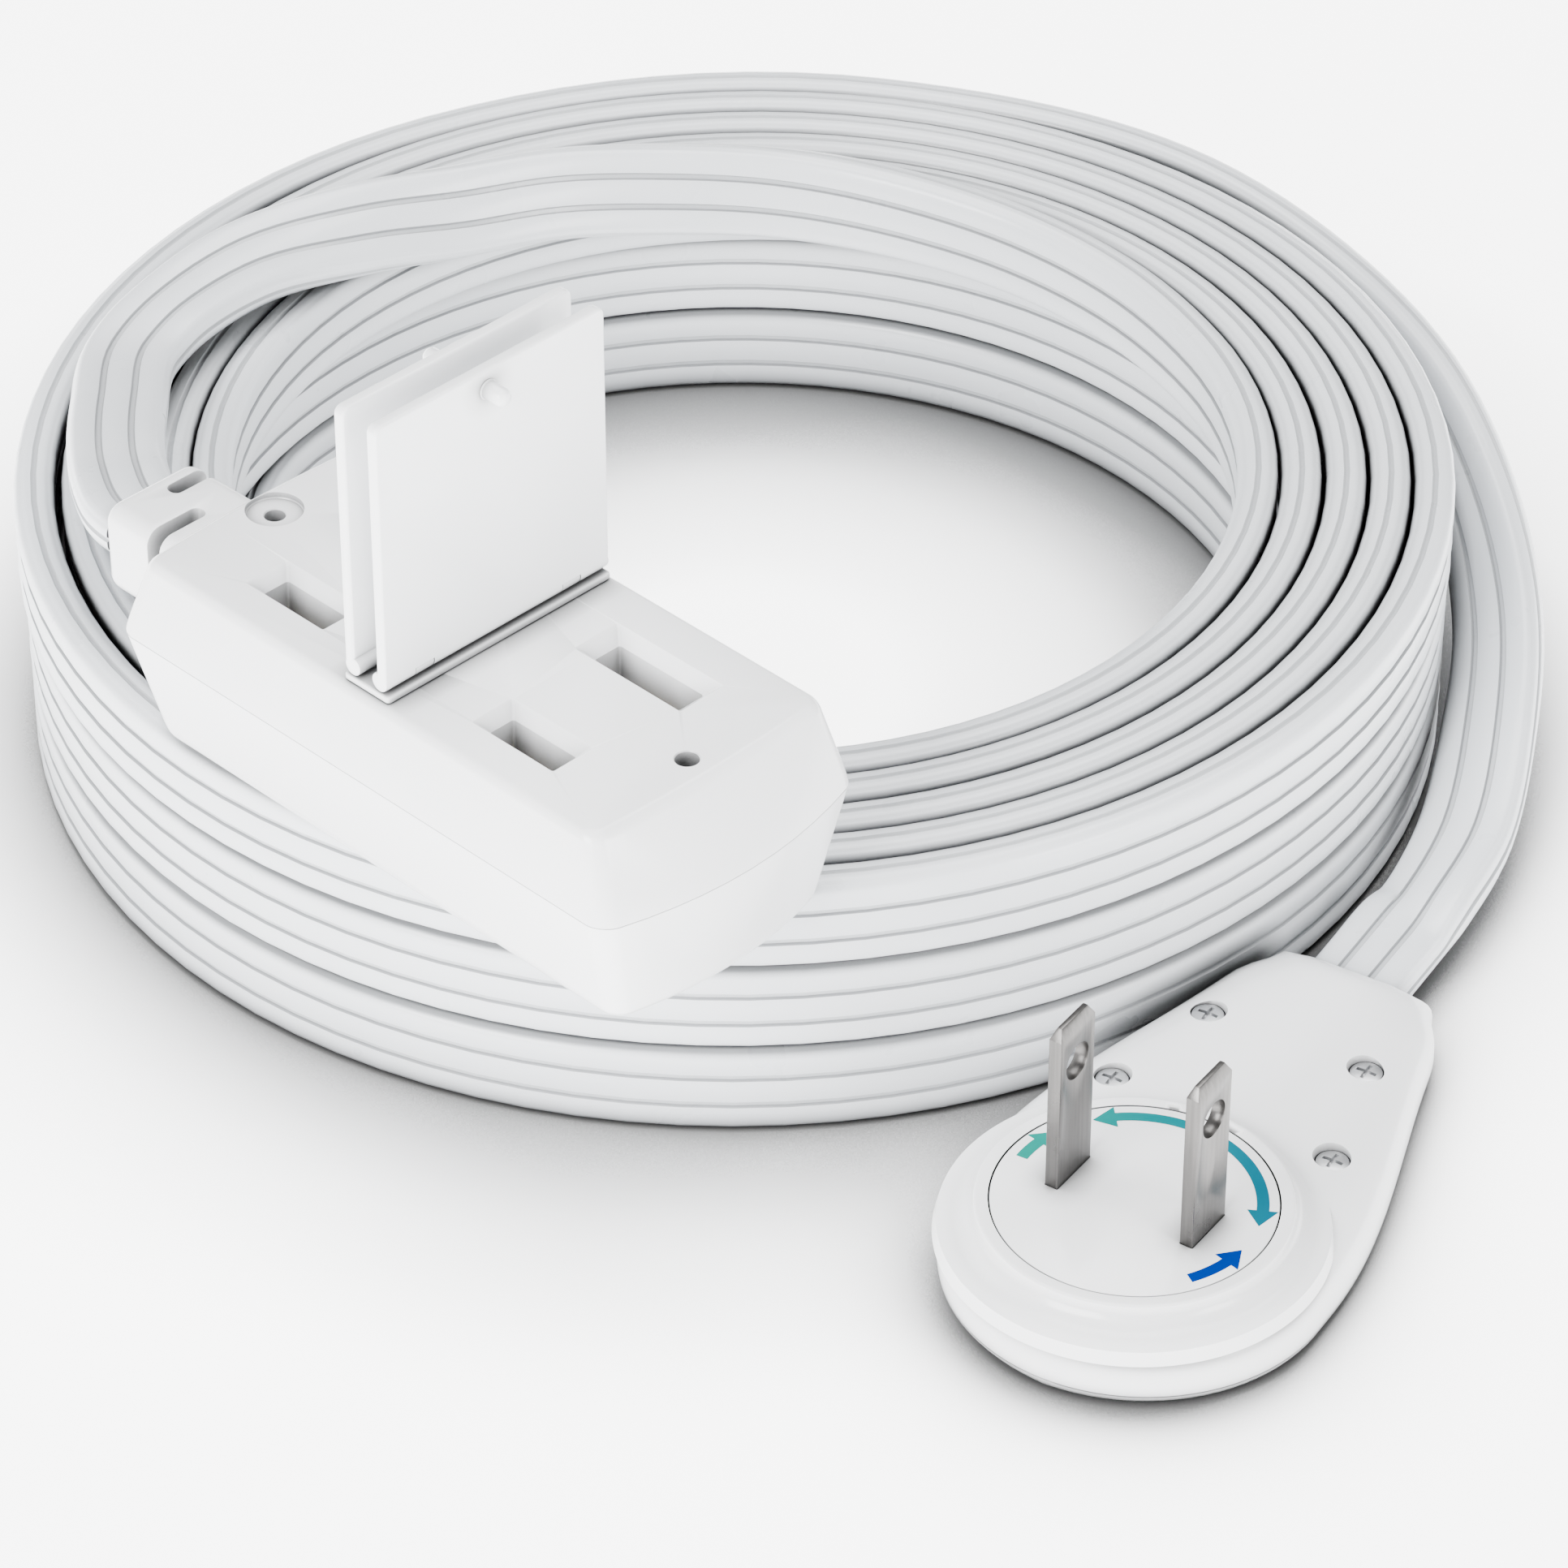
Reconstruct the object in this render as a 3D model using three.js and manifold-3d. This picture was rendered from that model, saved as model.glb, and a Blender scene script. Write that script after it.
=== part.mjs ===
// Two-outlet household extension cord with flip-up outlet covers and a flat rotating plug.
// Millimetres, +Z up, floor at z = 0. The origin is on the floor below the middle of the box
// around the outlet block and the plug. The block lies across the front left of the coil and
// the plug lies on the floor at the front right.
import * as THREE from "three";
import { mergeVertices } from "three/addons/utils/BufferGeometryUtils.js";
import Module from "manifold-3d";

const wasm = await Module();
wasm.setup();

// ---------------------------------------------------------------- driving dimensions

const CLEARANCE = 0.3;
const POLE_SPACING = 12.7;

const CORD = { width: 8.4, thickness: 3.5, sides: 12 };
const COIL = { x: -3.24, y: 60.25, innerRadius: 48.0, outerRadius: 63.2, height: 26.0, tierHeight: 8.65 };

const BLOCK = {
  x: -23.4,
  y: 5.49,
  turnDeg: -44.84,
  bottomZ: 26.6,
  creaseZ: 38.2,
  topZ: 45.6,
  wall: 1.8,
  bottom: { halfLength: 27.0, halfWidth: 11.3, crown: 1.6 },
  crease: { halfLength: 28.4, halfWidth: 14.1, crown: 2.5 },
  top: { halfLength: 26.3, halfWidth: 12.7, crown: 0.5 },
  cornerRadius: 1.6,
};

const OUTLET = {
  offset: 13.35,
  rowCentre: -0.4,
  neutral: { length: 9.6, width: 2.8, rimLength: 12.0, rimWidth: 4.8 },
  line: { length: 7.2, width: 2.6, rimLength: 9.2, rimWidth: 4.4 },
  rimDepth: 1.1,
};

const COVER = {
  width: 24.4,
  thickness: 1.1,
  barrelRadius: 0.85,
  boreRadius: 0.55,
  pinRadius: 0.25,
  axisOffset: 1.55,
  reach: 24.4,
  pegReach: 22.6,
  pegRadius: 0.8,
  pegLength: 2.2,
  stripThickness: 0.7,
  stripHalfWidth: 2.6,
  knuckleOffset: 8.0,
  knuckleLength: 2.0,
};
COVER.axisZ = BLOCK.topZ + COVER.stripThickness + 0.2 + COVER.barrelRadius;

const PEG_HOLE = { reach: COVER.axisOffset + COVER.pegReach, radius: 1.0, recessRadius: 2.4 };

const RELIEF = { outerEnd: -40.9, innerEnd: -31.4, halfWidth: 5.1, bottomZ: 31.5, topZ: 40.0 };

const PLUG = {
  x: 29.06,
  y: -22.15,
  turnDeg: 59,
  partingZ: 1.65,
  deckZ: 7.3,
  faceZ: 9.2,
  roundRadius: 16.4,
  noseReach: 39.4,
  noseHalfWidth: 6.2,
  wall: 1.5,
  collarRadius: 12.95,
  cordZ: 3.85,
};

const ROTOR = { radius: 11.65, flangeRadius: 12.3, flangeBottomZ: 5.2, flangeTopZ: 6.0, turnDeg: -3.4 };

const BLADE = { width: 5.0, thickness: 1.2, length: 16.0, footZ: 5.5, holeRadius: 1.65, holeDrop: 4.3 };

const PLUG_SCREWS = [
  { along: 15.0, across: 10.2 },
  { along: 15.0, across: -10.2 },
  { along: 26.5, across: 7.4 },
  { along: 26.5, across: -7.4 },
];
const SCREW = { headRadius: 1.25, headHeight: 0.8, shankRadius: 0.6, pocketRadius: 1.55 };

// ---------------------------------------------------------------- materials

const finish = (color, roughness, metalness) => ({ color, roughness, metalness });
const GLOSS_WHITE = finish(0xf1f3f5, 0.3, 0);
const COVER_WHITE = finish(0xf4f6f8, 0.26, 0);
const CORD_WHITE = finish(0xe9ecef, 0.4, 0);
const NICKEL = finish(0xa9a7a4, 0.3, 1);
const STEEL = finish(0xb9bcc0, 0.35, 1);
const BRASS = finish(0xc9a44e, 0.35, 1);
const COPPER = finish(0xb8703f, 0.4, 1);

// ---------------------------------------------------------------- solid helpers

/** A watertight manifold solid made from a three.js geometry. */
function solid(geometry) {
  const bare = geometry.index ? geometry.toNonIndexed() : geometry.clone();
  bare.deleteAttribute("normal");
  bare.deleteAttribute("uv");
  const merged = mergeVertices(bare, 1e-4);
  return new wasm.Manifold(
    new wasm.Mesh({
      numProp: 3,
      vertProperties: new Float32Array(merged.attributes.position.array),
      triVerts: new Uint32Array(merged.index.array),
    })
  );
}

/** Joins any number of solids. */
function join(first, ...others) {
  return others.reduce((whole, piece) => whole.add(piece), first);
}

/** Cuts any number of solids out of the first. */
function cut(first, ...others) {
  return others.reduce((whole, piece) => whole.subtract(piece), first);
}

/** A named mesh from a finished solid, moved into place by the matrix. */
function part(name, body, look, place) {
  const raw = body.getMesh();
  const geometry = new THREE.BufferGeometry();
  geometry.setAttribute("position", new THREE.BufferAttribute(new Float32Array(raw.vertProperties), 3));
  geometry.setIndex(new THREE.BufferAttribute(new Uint32Array(raw.triVerts), 1));
  if (place) {
    geometry.applyMatrix4(place);
  }
  geometry.computeVertexNormals();
  const mesh = new THREE.Mesh(geometry, new THREE.MeshStandardMaterial(look));
  mesh.name = name;
  return mesh;
}

/** Rotation about Z by degrees, then a move in the floor plane. */
function placement(x, y, degrees) {
  const matrix = new THREE.Matrix4().makeRotationZ(THREE.MathUtils.degToRad(degrees));
  return matrix.premultiply(new THREE.Matrix4().makeTranslation(x, y, 0));
}

/** Stacks rings of points (each a list of Vector3) into one capped solid. */
function loft(rings) {
  const count = rings[0].length;
  const positions = rings.flat().flatMap((point) => [point.x, point.y, point.z]);
  const triangles = [];
  for (let ring = 0; ring + 1 < rings.length; ring++) {
    for (let i = 0; i < count; i++) {
      const a = ring * count + i;
      const b = ring * count + ((i + 1) % count);
      triangles.push(a, b, b + count, a, b + count, a + count);
    }
  }
  const last = (rings.length - 1) * count;
  for (const [ring, base, flip] of [[rings[0], 0, true], [rings[rings.length - 1], last, false]]) {
    const centre = ring.reduce((sum, point) => sum.add(point), new THREE.Vector3()).divideScalar(count);
    const hub = positions.length / 3;
    positions.push(centre.x, centre.y, centre.z);
    for (let i = 0; i < count; i++) {
      const next = (i + 1) % count;
      triangles.push(...(flip ? [hub, base + next, base + i] : [hub, base + i, base + next]));
    }
  }
  const geometry = new THREE.BufferGeometry();
  geometry.setAttribute("position", new THREE.BufferAttribute(new Float32Array(positions), 3));
  geometry.setIndex(triangles);
  return solid(geometry);
}

/** A level ring at height z from flat [x, y] points. */
function level(outline, z) {
  return outline.map(([x, y]) => new THREE.Vector3(x, y, z));
}

/** A straight upright prism from flat [x, y] points given counter-clockwise. */
function prism(outline, z0, z1) {
  return loft([level(outline, z0), level(outline, z1)]);
}

/** A box given by its lower and upper corners. */
function block(x0, x1, y0, y1, z0, z1) {
  const geometry = new THREE.BoxGeometry(x1 - x0, y1 - y0, z1 - z0);
  geometry.translate((x0 + x1) / 2, (y0 + y1) / 2, (z0 + z1) / 2);
  return solid(geometry);
}

/** Points of a circle. */
function circle(radius, x = 0, y = 0, sides = 24) {
  return Array.from({ length: sides }, (_, i) => {
    const angle = (i / sides) * Math.PI * 2;
    return [x + radius * Math.cos(angle), y + radius * Math.sin(angle)];
  });
}

/** An upright round bar. */
function post(radius, z0, z1, x = 0, y = 0, sides = 24) {
  return prism(circle(radius, x, y, sides), z0, z1);
}

/** A round bar lying along Y. */
function barAlongY(radius, y0, y1, x, z, sides = 16) {
  const ring = (y) => circle(radius, x, z, sides).map(([a, b]) => new THREE.Vector3(a, y, b));
  return loft([ring(y1), ring(y0)]);
}

/** A solid of revolution about Z from a closed list of [radius, z] points. */
function turned(profile, sides = 48) {
  const points = profile.map(([radius, z]) => new THREE.Vector2(radius, z));
  const geometry = new THREE.LatheGeometry(points, sides);
  geometry.rotateX(Math.PI / 2);
  return solid(geometry);
}

/** A flat ring or washer. */
function washer(innerRadius, outerRadius, z0, z1, sides = 48) {
  return cut(post(outerRadius, z0, z1, 0, 0, sides), post(innerRadius, z0 - 1, z1 + 1, 0, 0, sides));
}

/** Rectangle corner points centred on x, y. */
function rectangle(length, width, x, y) {
  const [a, b] = [length / 2, width / 2];
  return [[x - a, y - b], [x + a, y - b], [x + a, y + b], [x - a, y + b]];
}

// ---------------------------------------------------------------- outlet block

/** Outline of the block: rounded corners and gently crowned ends. */
function blockOutline({ halfLength, halfWidth, crown }, inset = 0) {
  const radius = Math.max(BLOCK.cornerRadius - inset, 0.5);
  const [a, b] = [halfLength - inset, halfWidth - inset];
  const points = [];
  for (const [cx, cy, start] of [[1, -1, -90], [1, 1, 0], [-1, 1, 90], [-1, -1, 180]]) {
    for (let step = 0; step <= 4; step++) {
      const angle = THREE.MathUtils.degToRad(start + (step / 4) * 90);
      points.push([cx * (a - radius) + radius * Math.cos(angle), cy * (b - radius) + radius * Math.sin(angle)]);
    }
    if (cy === cx * -1) {
      for (const share of [-0.5, -0.2, 0.2, 0.5]) {
        points.push([cx * a, cx * share * b]);
      }
    }
  }
  return points.map(([x, y]) => [x + Math.sign(x) * endCrown(x, y, a, b, crown), y]);
}

/** How far the crowned end stands out beyond the corners at y. */
function endCrown(x, y, halfLength, halfWidth, crown) {
  const nearEnd = Math.max(0, 1 - (halfLength - Math.abs(x)) / BLOCK.cornerRadius);
  return crown * nearEnd * (1 - Math.min(1, (y / halfWidth) ** 2));
}

/** Blend of two outlines' sizes, share 0 gives the first. */
function between(first, second, share) {
  const mix = (key) => first[key] + (second[key] - first[key]) * share;
  return { halfLength: mix("halfLength"), halfWidth: mix("halfWidth"), crown: mix("crown") };
}

/** Upper half of the block before any holes. */
function upperBlank() {
  const { crease, top, creaseZ, topZ } = BLOCK;
  return loft([
    level(blockOutline(crease), creaseZ + CLEARANCE / 2),
    level(blockOutline(between(crease, top, 0.88)), topZ - 0.8),
    level(blockOutline(top), topZ - 0.25),
    level(blockOutline(top, 0.35), topZ),
  ]);
}

/** Lower half of the block before any holes. */
function lowerBlank() {
  const { crease, bottom, creaseZ, bottomZ } = BLOCK;
  return loft([
    level(blockOutline(bottom, 1.2), bottomZ),
    level(blockOutline(bottom, 0.3), bottomZ + 0.5),
    level(blockOutline(between(bottom, crease, 0.12)), bottomZ + 1.6),
    level(blockOutline(crease), creaseZ - CLEARANCE / 2),
  ]);
}

/** The opening for one blade: a tapered lead-in over a straight slot. */
function bladeOpening(size, x, y) {
  const { topZ, wall } = BLOCK;
  const leadIn = loft([
    level(rectangle(size.length, size.width, x, y), topZ - OUTLET.rimDepth),
    level(rectangle(size.rimLength, size.rimWidth, x, y), topZ + 0.01),
  ]);
  return join(leadIn, prism(rectangle(size.length, size.width, x, y), topZ - wall - 1, topZ - OUTLET.rimDepth + 0.01));
}

const NEUTRAL_Y = OUTLET.rowCentre + POLE_SPACING / 2;
const LINE_Y = OUTLET.rowCentre - POLE_SPACING / 2;
const SHELL_SCREW_X = 20.6;

function blockUpperShell() {
  const { crease, top, creaseZ, topZ, wall } = BLOCK;
  const cavity = loft([
    level(blockOutline(crease, wall), creaseZ - 1),
    level(blockOutline(between(crease, top, 0.75), wall), topZ - wall),
  ]);
  let shell = cut(upperBlank(), cavity);
  for (const side of [-1, 1]) {
    const boss = post(2.2, creaseZ + 0.4, topZ - wall + 0.5, side * SHELL_SCREW_X, OUTLET.rowCentre);
    shell = join(shell, boss);
  }
  const cutters = [];
  for (const side of [-1, 1]) {
    cutters.push(bladeOpening(OUTLET.neutral, side * OUTLET.offset, NEUTRAL_Y));
    cutters.push(bladeOpening(OUTLET.line, side * OUTLET.offset, LINE_Y));
    cutters.push(post(0.95, creaseZ - 1, topZ - wall - 0.4, side * SHELL_SCREW_X, OUTLET.rowCentre, 16));
    cutters.push(post(PEG_HOLE.radius, topZ - wall - 1, topZ + 1, side * PEG_HOLE.reach, OUTLET.rowCentre));
  }
  const recess = post(PEG_HOLE.recessRadius, topZ - 0.25, topZ + 1, -PEG_HOLE.reach, OUTLET.rowCentre, 32);
  return cut(shell, ...cutters, recess);
}

function blockLowerShell() {
  const { crease, bottom, creaseZ, bottomZ, wall } = BLOCK;
  const cavity = loft([
    level(blockOutline(between(bottom, crease, 0.1), wall), bottomZ + wall),
    level(blockOutline(crease, wall), creaseZ + 1),
  ]);
  let shell = cut(lowerBlank(), cavity);
  const dividerTop = creaseZ - 1;
  shell = join(shell, block(-17.5, 17.5, OUTLET.rowCentre - 0.5, OUTLET.rowCentre + 0.5, bottomZ + 1, dividerTop));
  for (const side of [-1, 1]) {
    shell = join(shell, post(2.2, bottomZ + 1, creaseZ - 0.3, side * SHELL_SCREW_X, OUTLET.rowCentre));
  }
  const cutters = [block(-34, -24, -4.5, 4.5, 32.2, creaseZ + 1)];
  for (const side of [-1, 1]) {
    const [x, y] = [side * SHELL_SCREW_X, OUTLET.rowCentre];
    cutters.push(post(1.95, bottomZ - 1, bottomZ + 1.4, x, y, 16));
    cutters.push(post(1.1, bottomZ + 1, creaseZ + 1, x, y, 16));
  }
  return cut(shell, ...cutters);
}

/** Self-tapping screw that holds the two halves of the block together, driven from below. */
function shellScrew(side) {
  const { bottomZ } = BLOCK;
  const profile = [
    [0, bottomZ + 0.2],
    [1.6, bottomZ + 0.2],
    [1.6, bottomZ + 1.1],
    [0.65, bottomZ + 1.1],
    [0.65, bottomZ + 14.4],
    [0, bottomZ + 15.2],
  ];
  const cross = join(block(-1.2, 1.2, -0.2, 0.2, 0, bottomZ + 0.6), block(-0.2, 0.2, -1.2, 1.2, 0, bottomZ + 0.6));
  return cut(turned(profile, 20), cross).translate([side * SHELL_SCREW_X, OUTLET.rowCentre, 0]);
}

/** Spring clip that grips one blade: two leaves joined at the foot. */
function springClip(x, y) {
  const [halfGap, leaf, z0, z1] = [0.75, 0.45, 29.0, 40.8];
  const outside = halfGap + leaf;
  const clip = block(x - 3, x + 3, y - outside, y + outside, z0, z1);
  return cut(clip, block(x - 4, x + 4, y - halfGap, y + halfGap, z0 + leaf, z1 + 1));
}

/** Bus bar that feeds both clips of one pole, with a turned-in end for the conductor. */
function busBar(y, outward) {
  const near = y + outward * (1.2 + CLEARANCE);
  const far = near + outward * 0.6;
  const bar = block(-18.5, 18.5, Math.min(near, far), Math.max(near, far), 31.0, 34.5);
  return cut(bar, barAlongY(0.7, y - 4, y + 4, -17.2, 32.8));
}

/** Insulated conductor from the cord entry to its bus bar. */
function blockConductor(outward) {
  const points = [
    [-25.6, outward * 2.4, 34.8],
    [-22.8, outward * 3.7, 34.4],
    [-20.0, outward * 4.8, 33.6],
    [-16.6, outward * 4.8, 33.0],
  ].map(([x, y, z]) => new THREE.Vector3(x, y + OUTLET.rowCentre, z));
  return roundSweep(points, 0.8, 8);
}

function hingeStrip() {
  const { topZ } = BLOCK;
  const { stripHalfWidth, stripThickness, width, axisZ, axisOffset, barrelRadius } = COVER;
  const base = topZ + 0.05;
  let strip = block(-stripHalfWidth, stripHalfWidth, -width / 2, width / 2, base, base + stripThickness);
  for (const side of [-1, 1]) {
    for (const end of [-1, 1]) {
      const y0 = end * COVER.knuckleOffset - COVER.knuckleLength / 2;
      const y1 = y0 + COVER.knuckleLength;
      const x = side * axisOffset;
      const foot = block(x - 0.6, x + 0.6, y0, y1, base + 0.3, axisZ);
      const knuckle = barAlongY(barrelRadius, y0, y1, x, axisZ);
      const bore = barAlongY(COVER.boreRadius, y0 - 1, y1 + 1, x, axisZ);
      strip = cut(join(strip, foot, knuckle), bore);
    }
  }
  return strip;
}

/** One flip-up cover standing open; side is +1 for the right outlet, -1 for the left. */
function outletCover(side) {
  const { width, thickness, barrelRadius, axisOffset, axisZ, reach, pegReach, pegRadius, pegLength } = COVER;
  const outer = side * (axisOffset + barrelRadius);
  const inner = outer - side * thickness;
  const half = width / 2;
  const corner = 0.9;
  const face = [
    [-half, axisZ],
    [half, axisZ],
    [half, axisZ + reach - corner],
    [half - corner, axisZ + reach],
    [-half + corner, axisZ + reach],
    [-half, axisZ + reach - corner],
  ];
  const ring = (x) => face.map(([y, z]) => new THREE.Vector3(x, y, z));
  const plate = loft([ring(Math.min(inner, outer)), ring(Math.max(inner, outer))]);
  const barrel = barAlongY(barrelRadius, -half, half, side * axisOffset, axisZ);
  const pegStart = outer - side * 0.4;
  const pegEnd = outer + side * pegLength;
  const pegRing = (x) =>
    circle(pegRadius, OUTLET.rowCentre, axisZ + pegReach, 20).map(([y, z]) => new THREE.Vector3(x, y, z));
  const peg = loft([pegRing(Math.min(pegStart, pegEnd)), pegRing(Math.max(pegStart, pegEnd))]);
  const cutters = [barAlongY(COVER.boreRadius, -half - 1, half + 1, side * axisOffset, axisZ)];
  for (const end of [-1, 1]) {
    const y = end * COVER.knuckleOffset;
    const reachY = COVER.knuckleLength / 2 + CLEARANCE;
    const x = side * axisOffset;
    cutters.push(block(x - 1.4, x + 1.4, y - reachY, y + reachY, axisZ - 2, axisZ + barrelRadius + CLEARANCE));
  }
  return cut(join(plate, barrel, peg), ...cutters);
}

function hingePin(side) {
  const half = COVER.width / 2 - 0.3;
  return barAlongY(COVER.pinRadius, -half, half, side * COVER.axisOffset, COVER.axisZ, 10);
}

/** Moulded strain relief with two flex slots, a neck through the wall and an inner flange. */
function strainRelief() {
  const { outerEnd, innerEnd, halfWidth, bottomZ, topZ } = RELIEF;
  const corner = 0.9;
  const profile = (inset) => {
    const [a, z0, z1] = [halfWidth - inset, bottomZ + inset, topZ - inset];
    return [
      [-a + corner, z0], [a - corner, z0], [a, z0 + corner], [a, z1 - corner],
      [a - corner, z1], [-a + corner, z1], [-a, z1 - corner], [-a, z0 + corner],
    ];
  };
  const ring = (x, inset) => profile(inset).map(([y, z]) => new THREE.Vector3(x, y, z));
  const grip = loft([ring(outerEnd, 0.6), ring(outerEnd + 0.7, 0), ring(innerEnd, 0)]);
  const neck = block(innerEnd - 1, -26.4, -4.2, 4.2, 32.5, 37.6);
  const flange = block(-26.9, -26.2, -6.0, 6.0, 31.5, 37.7);
  const slotFloor = topZ - 5.0;
  const farSlot = block(outerEnd + 1.6, outerEnd + 3.1, 0.5, halfWidth + 1, slotFloor, topZ + 1);
  const nearSlot = block(outerEnd + 5.6, outerEnd + 7.1, -halfWidth - 1, 0.5, slotFloor, topZ + 1);
  const nearSlotEnd = post(0.75, slotFloor, topZ + 1, outerEnd + 6.35, 0.5, 16);
  return cut(join(grip, neck, flange), farSlot, nearSlot, nearSlotEnd);
}

// ---------------------------------------------------------------- plug

/** Half-width of the plug at a distance along its axis, a round head running into a nose. */
function plugHalfWidth(along) {
  const { roundRadius, noseReach, noseHalfWidth } = PLUG;
  const head = Math.sqrt(Math.max(0, roundRadius ** 2 - Math.min(along - 1.2, 0) ** 2));
  const share = THREE.MathUtils.smoothstep(along, 4, noseReach + 6);
  const shoulder = THREE.MathUtils.smoothstep(along, noseReach - 6, noseReach) ** 2;
  return head - (roundRadius - noseHalfWidth - 2.2) * share - 1.6 * shoulder;
}

/** Outline of the plug shrunk by inset. */
function plugOutline(inset = 0) {
  const { roundRadius, noseReach } = PLUG;
  const back = 1.2 - roundRadius;
  const stations = [];
  for (let step = 1; step <= 9; step++) {
    const angle = (step / 9) * (Math.PI / 2);
    stations.push(1.2 - roundRadius * Math.cos(angle));
  }
  for (let step = 1; step <= 12; step++) {
    stations.push(1.2 + ((noseReach - 1.2) * step) / 12);
  }
  const scaleIn = (along) => {
    const middle = (back + noseReach) / 2;
    const half = (noseReach - back) / 2;
    return middle + ((along - middle) * (half - inset)) / half;
  };
  const near = stations.map((along) => [scaleIn(along), -(plugHalfWidth(along) - inset)]);
  const far = near.slice().reverse().map(([x, y]) => [x, -y]);
  const noseTip = [-0.5, 0.5].map((share) => [
    noseReach + 0.5 - inset,
    share * (plugHalfWidth(noseReach) - inset),
  ]);
  return [[back + inset, 0], ...near, ...noseTip, ...far];
}

/** The plug's cord opening: a flat slot through the nose, open at the parting line. */
function cordOpening() {
  const side = CORD.width / 2 + CLEARANCE;
  const top = PLUG.cordZ + CORD.thickness / 2 + CLEARANCE;
  return block(34.5, 44, -side, side, PLUG.partingZ - 1, top);
}

function plugUpperHousing() {
  const { partingZ, deckZ, faceZ, wall, collarRadius } = PLUG;
  const outside = loft([
    level(plugOutline(0.15), partingZ + CLEARANCE / 2),
    level(plugOutline(0), 3.0),
    level(plugOutline(0.1), 4.3),
    level(plugOutline(0.7), 5.5),
    level(plugOutline(1.7), 6.5),
    level(plugOutline(3.2), deckZ),
  ]);
  const collar = turned([
    [0, deckZ - 1.5],
    [14.6, deckZ - 1.5],
    [14.4, deckZ - 0.5],
    [13.6, deckZ + 0.1],
    [13.1, deckZ + 0.9],
    [collarRadius, faceZ - 0.15],
    [collarRadius - 0.2, faceZ],
    [0, faceZ],
  ]);
  const cavity = loft([
    level(plugOutline(wall + 0.1), partingZ - 1),
    level(plugOutline(wall), 3.6),
    level(plugOutline(wall + 1.2), 5.0),
  ]);
  let housing = cut(join(outside, collar), cavity);
  for (const screw of PLUG_SCREWS) {
    housing = join(housing, post(2.1, 3.0, 5.6, screw.along, screw.across));
  }
  const cutters = [
    post(ROTOR.flangeRadius + CLEARANCE, partingZ, ROTOR.flangeTopZ + CLEARANCE, 0, 0, 48),
    post(ROTOR.radius + CLEARANCE, partingZ, faceZ + 1, 0, 0, 48),
    cordOpening(),
  ];
  for (const screw of PLUG_SCREWS) {
    cutters.push(post(SCREW.pocketRadius, 5.9, faceZ + 1, screw.along, screw.across, 20));
    cutters.push(post(SCREW.shankRadius + 0.3, partingZ - 1, 6.2, screw.along, screw.across, 12));
  }
  return cut(housing, ...cutters);
}

function plugLowerHousing() {
  const { partingZ, wall } = PLUG;
  const outside = loft([
    level(plugOutline(2.2), 0),
    level(plugOutline(1.1), 0.35),
    level(plugOutline(0.45), 0.9),
    level(plugOutline(0.15), partingZ - CLEARANCE / 2),
  ]);
  const cavity = loft([level(plugOutline(wall + 1.2), 1.0), level(plugOutline(wall + 0.1), partingZ + 1)]);
  let housing = join(cut(outside, cavity), post(1.4, 0.8, 6.1));
  const holes = [];
  for (const screw of PLUG_SCREWS) {
    housing = join(housing, post(1.9, 0.8, 2.7, screw.along, screw.across));
    holes.push(post(SCREW.shankRadius + 0.25, 0.7, 4, screw.along, screw.across, 12));
  }
  return cut(housing, ...holes);
}

/** Cross-head screw sunk into the plug's upper housing. */
function plugScrew({ along, across }) {
  const { headRadius, headHeight, shankRadius } = SCREW;
  const [seat, tip] = [6.15, 1.0];
  const profile = [
    [0, tip],
    [shankRadius, tip + 0.5],
    [shankRadius, seat],
    [headRadius, seat],
    [headRadius, seat + headHeight * 0.6],
    [headRadius * 0.6, seat + headHeight],
    [0, seat + headHeight],
  ];
  const [arm, half, floorZ] = [0.85, 0.16, seat + 0.35];
  const cross = join(
    block(-arm, arm, -half, half, floorZ, seat + 2),
    block(-half, half, -arm, arm, floorZ, seat + 2)
  );
  return cut(turned(profile, 20), cross).translate([along, across, 0]);
}

/** Turning disc that carries the blades, held under the collar by its flange. */
function plugRotor() {
  const { radius, flangeRadius, flangeBottomZ, flangeTopZ } = ROTOR;
  const { faceZ } = PLUG;
  const disc = turned([
    [0, flangeBottomZ],
    [flangeRadius, flangeBottomZ],
    [flangeRadius, flangeTopZ],
    [radius, flangeTopZ],
    [radius, faceZ - 0.2],
    [radius - 0.2, faceZ],
    [0, faceZ],
  ]);
  const sockets = [-1, 1].map((side) => {
    const outline = rectangle(BLADE.thickness + 0.4, BLADE.width + 0.4, (side * POLE_SPACING) / 2, 0);
    return prism(outline, flangeBottomZ - 1, faceZ + 1);
  });
  return cut(disc, post(1.7, flangeBottomZ - 1, 6.5), ...sockets);
}

/** One flat blade with a chamfered tip and a round hole. */
function plugBlade(side) {
  const { width, thickness, length, footZ, holeRadius, holeDrop } = BLADE;
  const tipZ = PLUG.faceZ + length;
  const x = (side * POLE_SPACING) / 2;
  const section = (inset, z) => level(rectangle(thickness - inset, width - inset * 1.6, x, 0), z);
  const bar = loft([section(0, footZ), section(0, tipZ - 1.0), section(0.75, tipZ)]);
  const hole = circle(holeRadius, 0, tipZ - holeDrop, 24);
  const ring = (at) => hole.map(([y, z]) => new THREE.Vector3(at, y, z));
  return cut(bar, loft([ring(x - 2), ring(x + 2)]));
}

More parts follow.
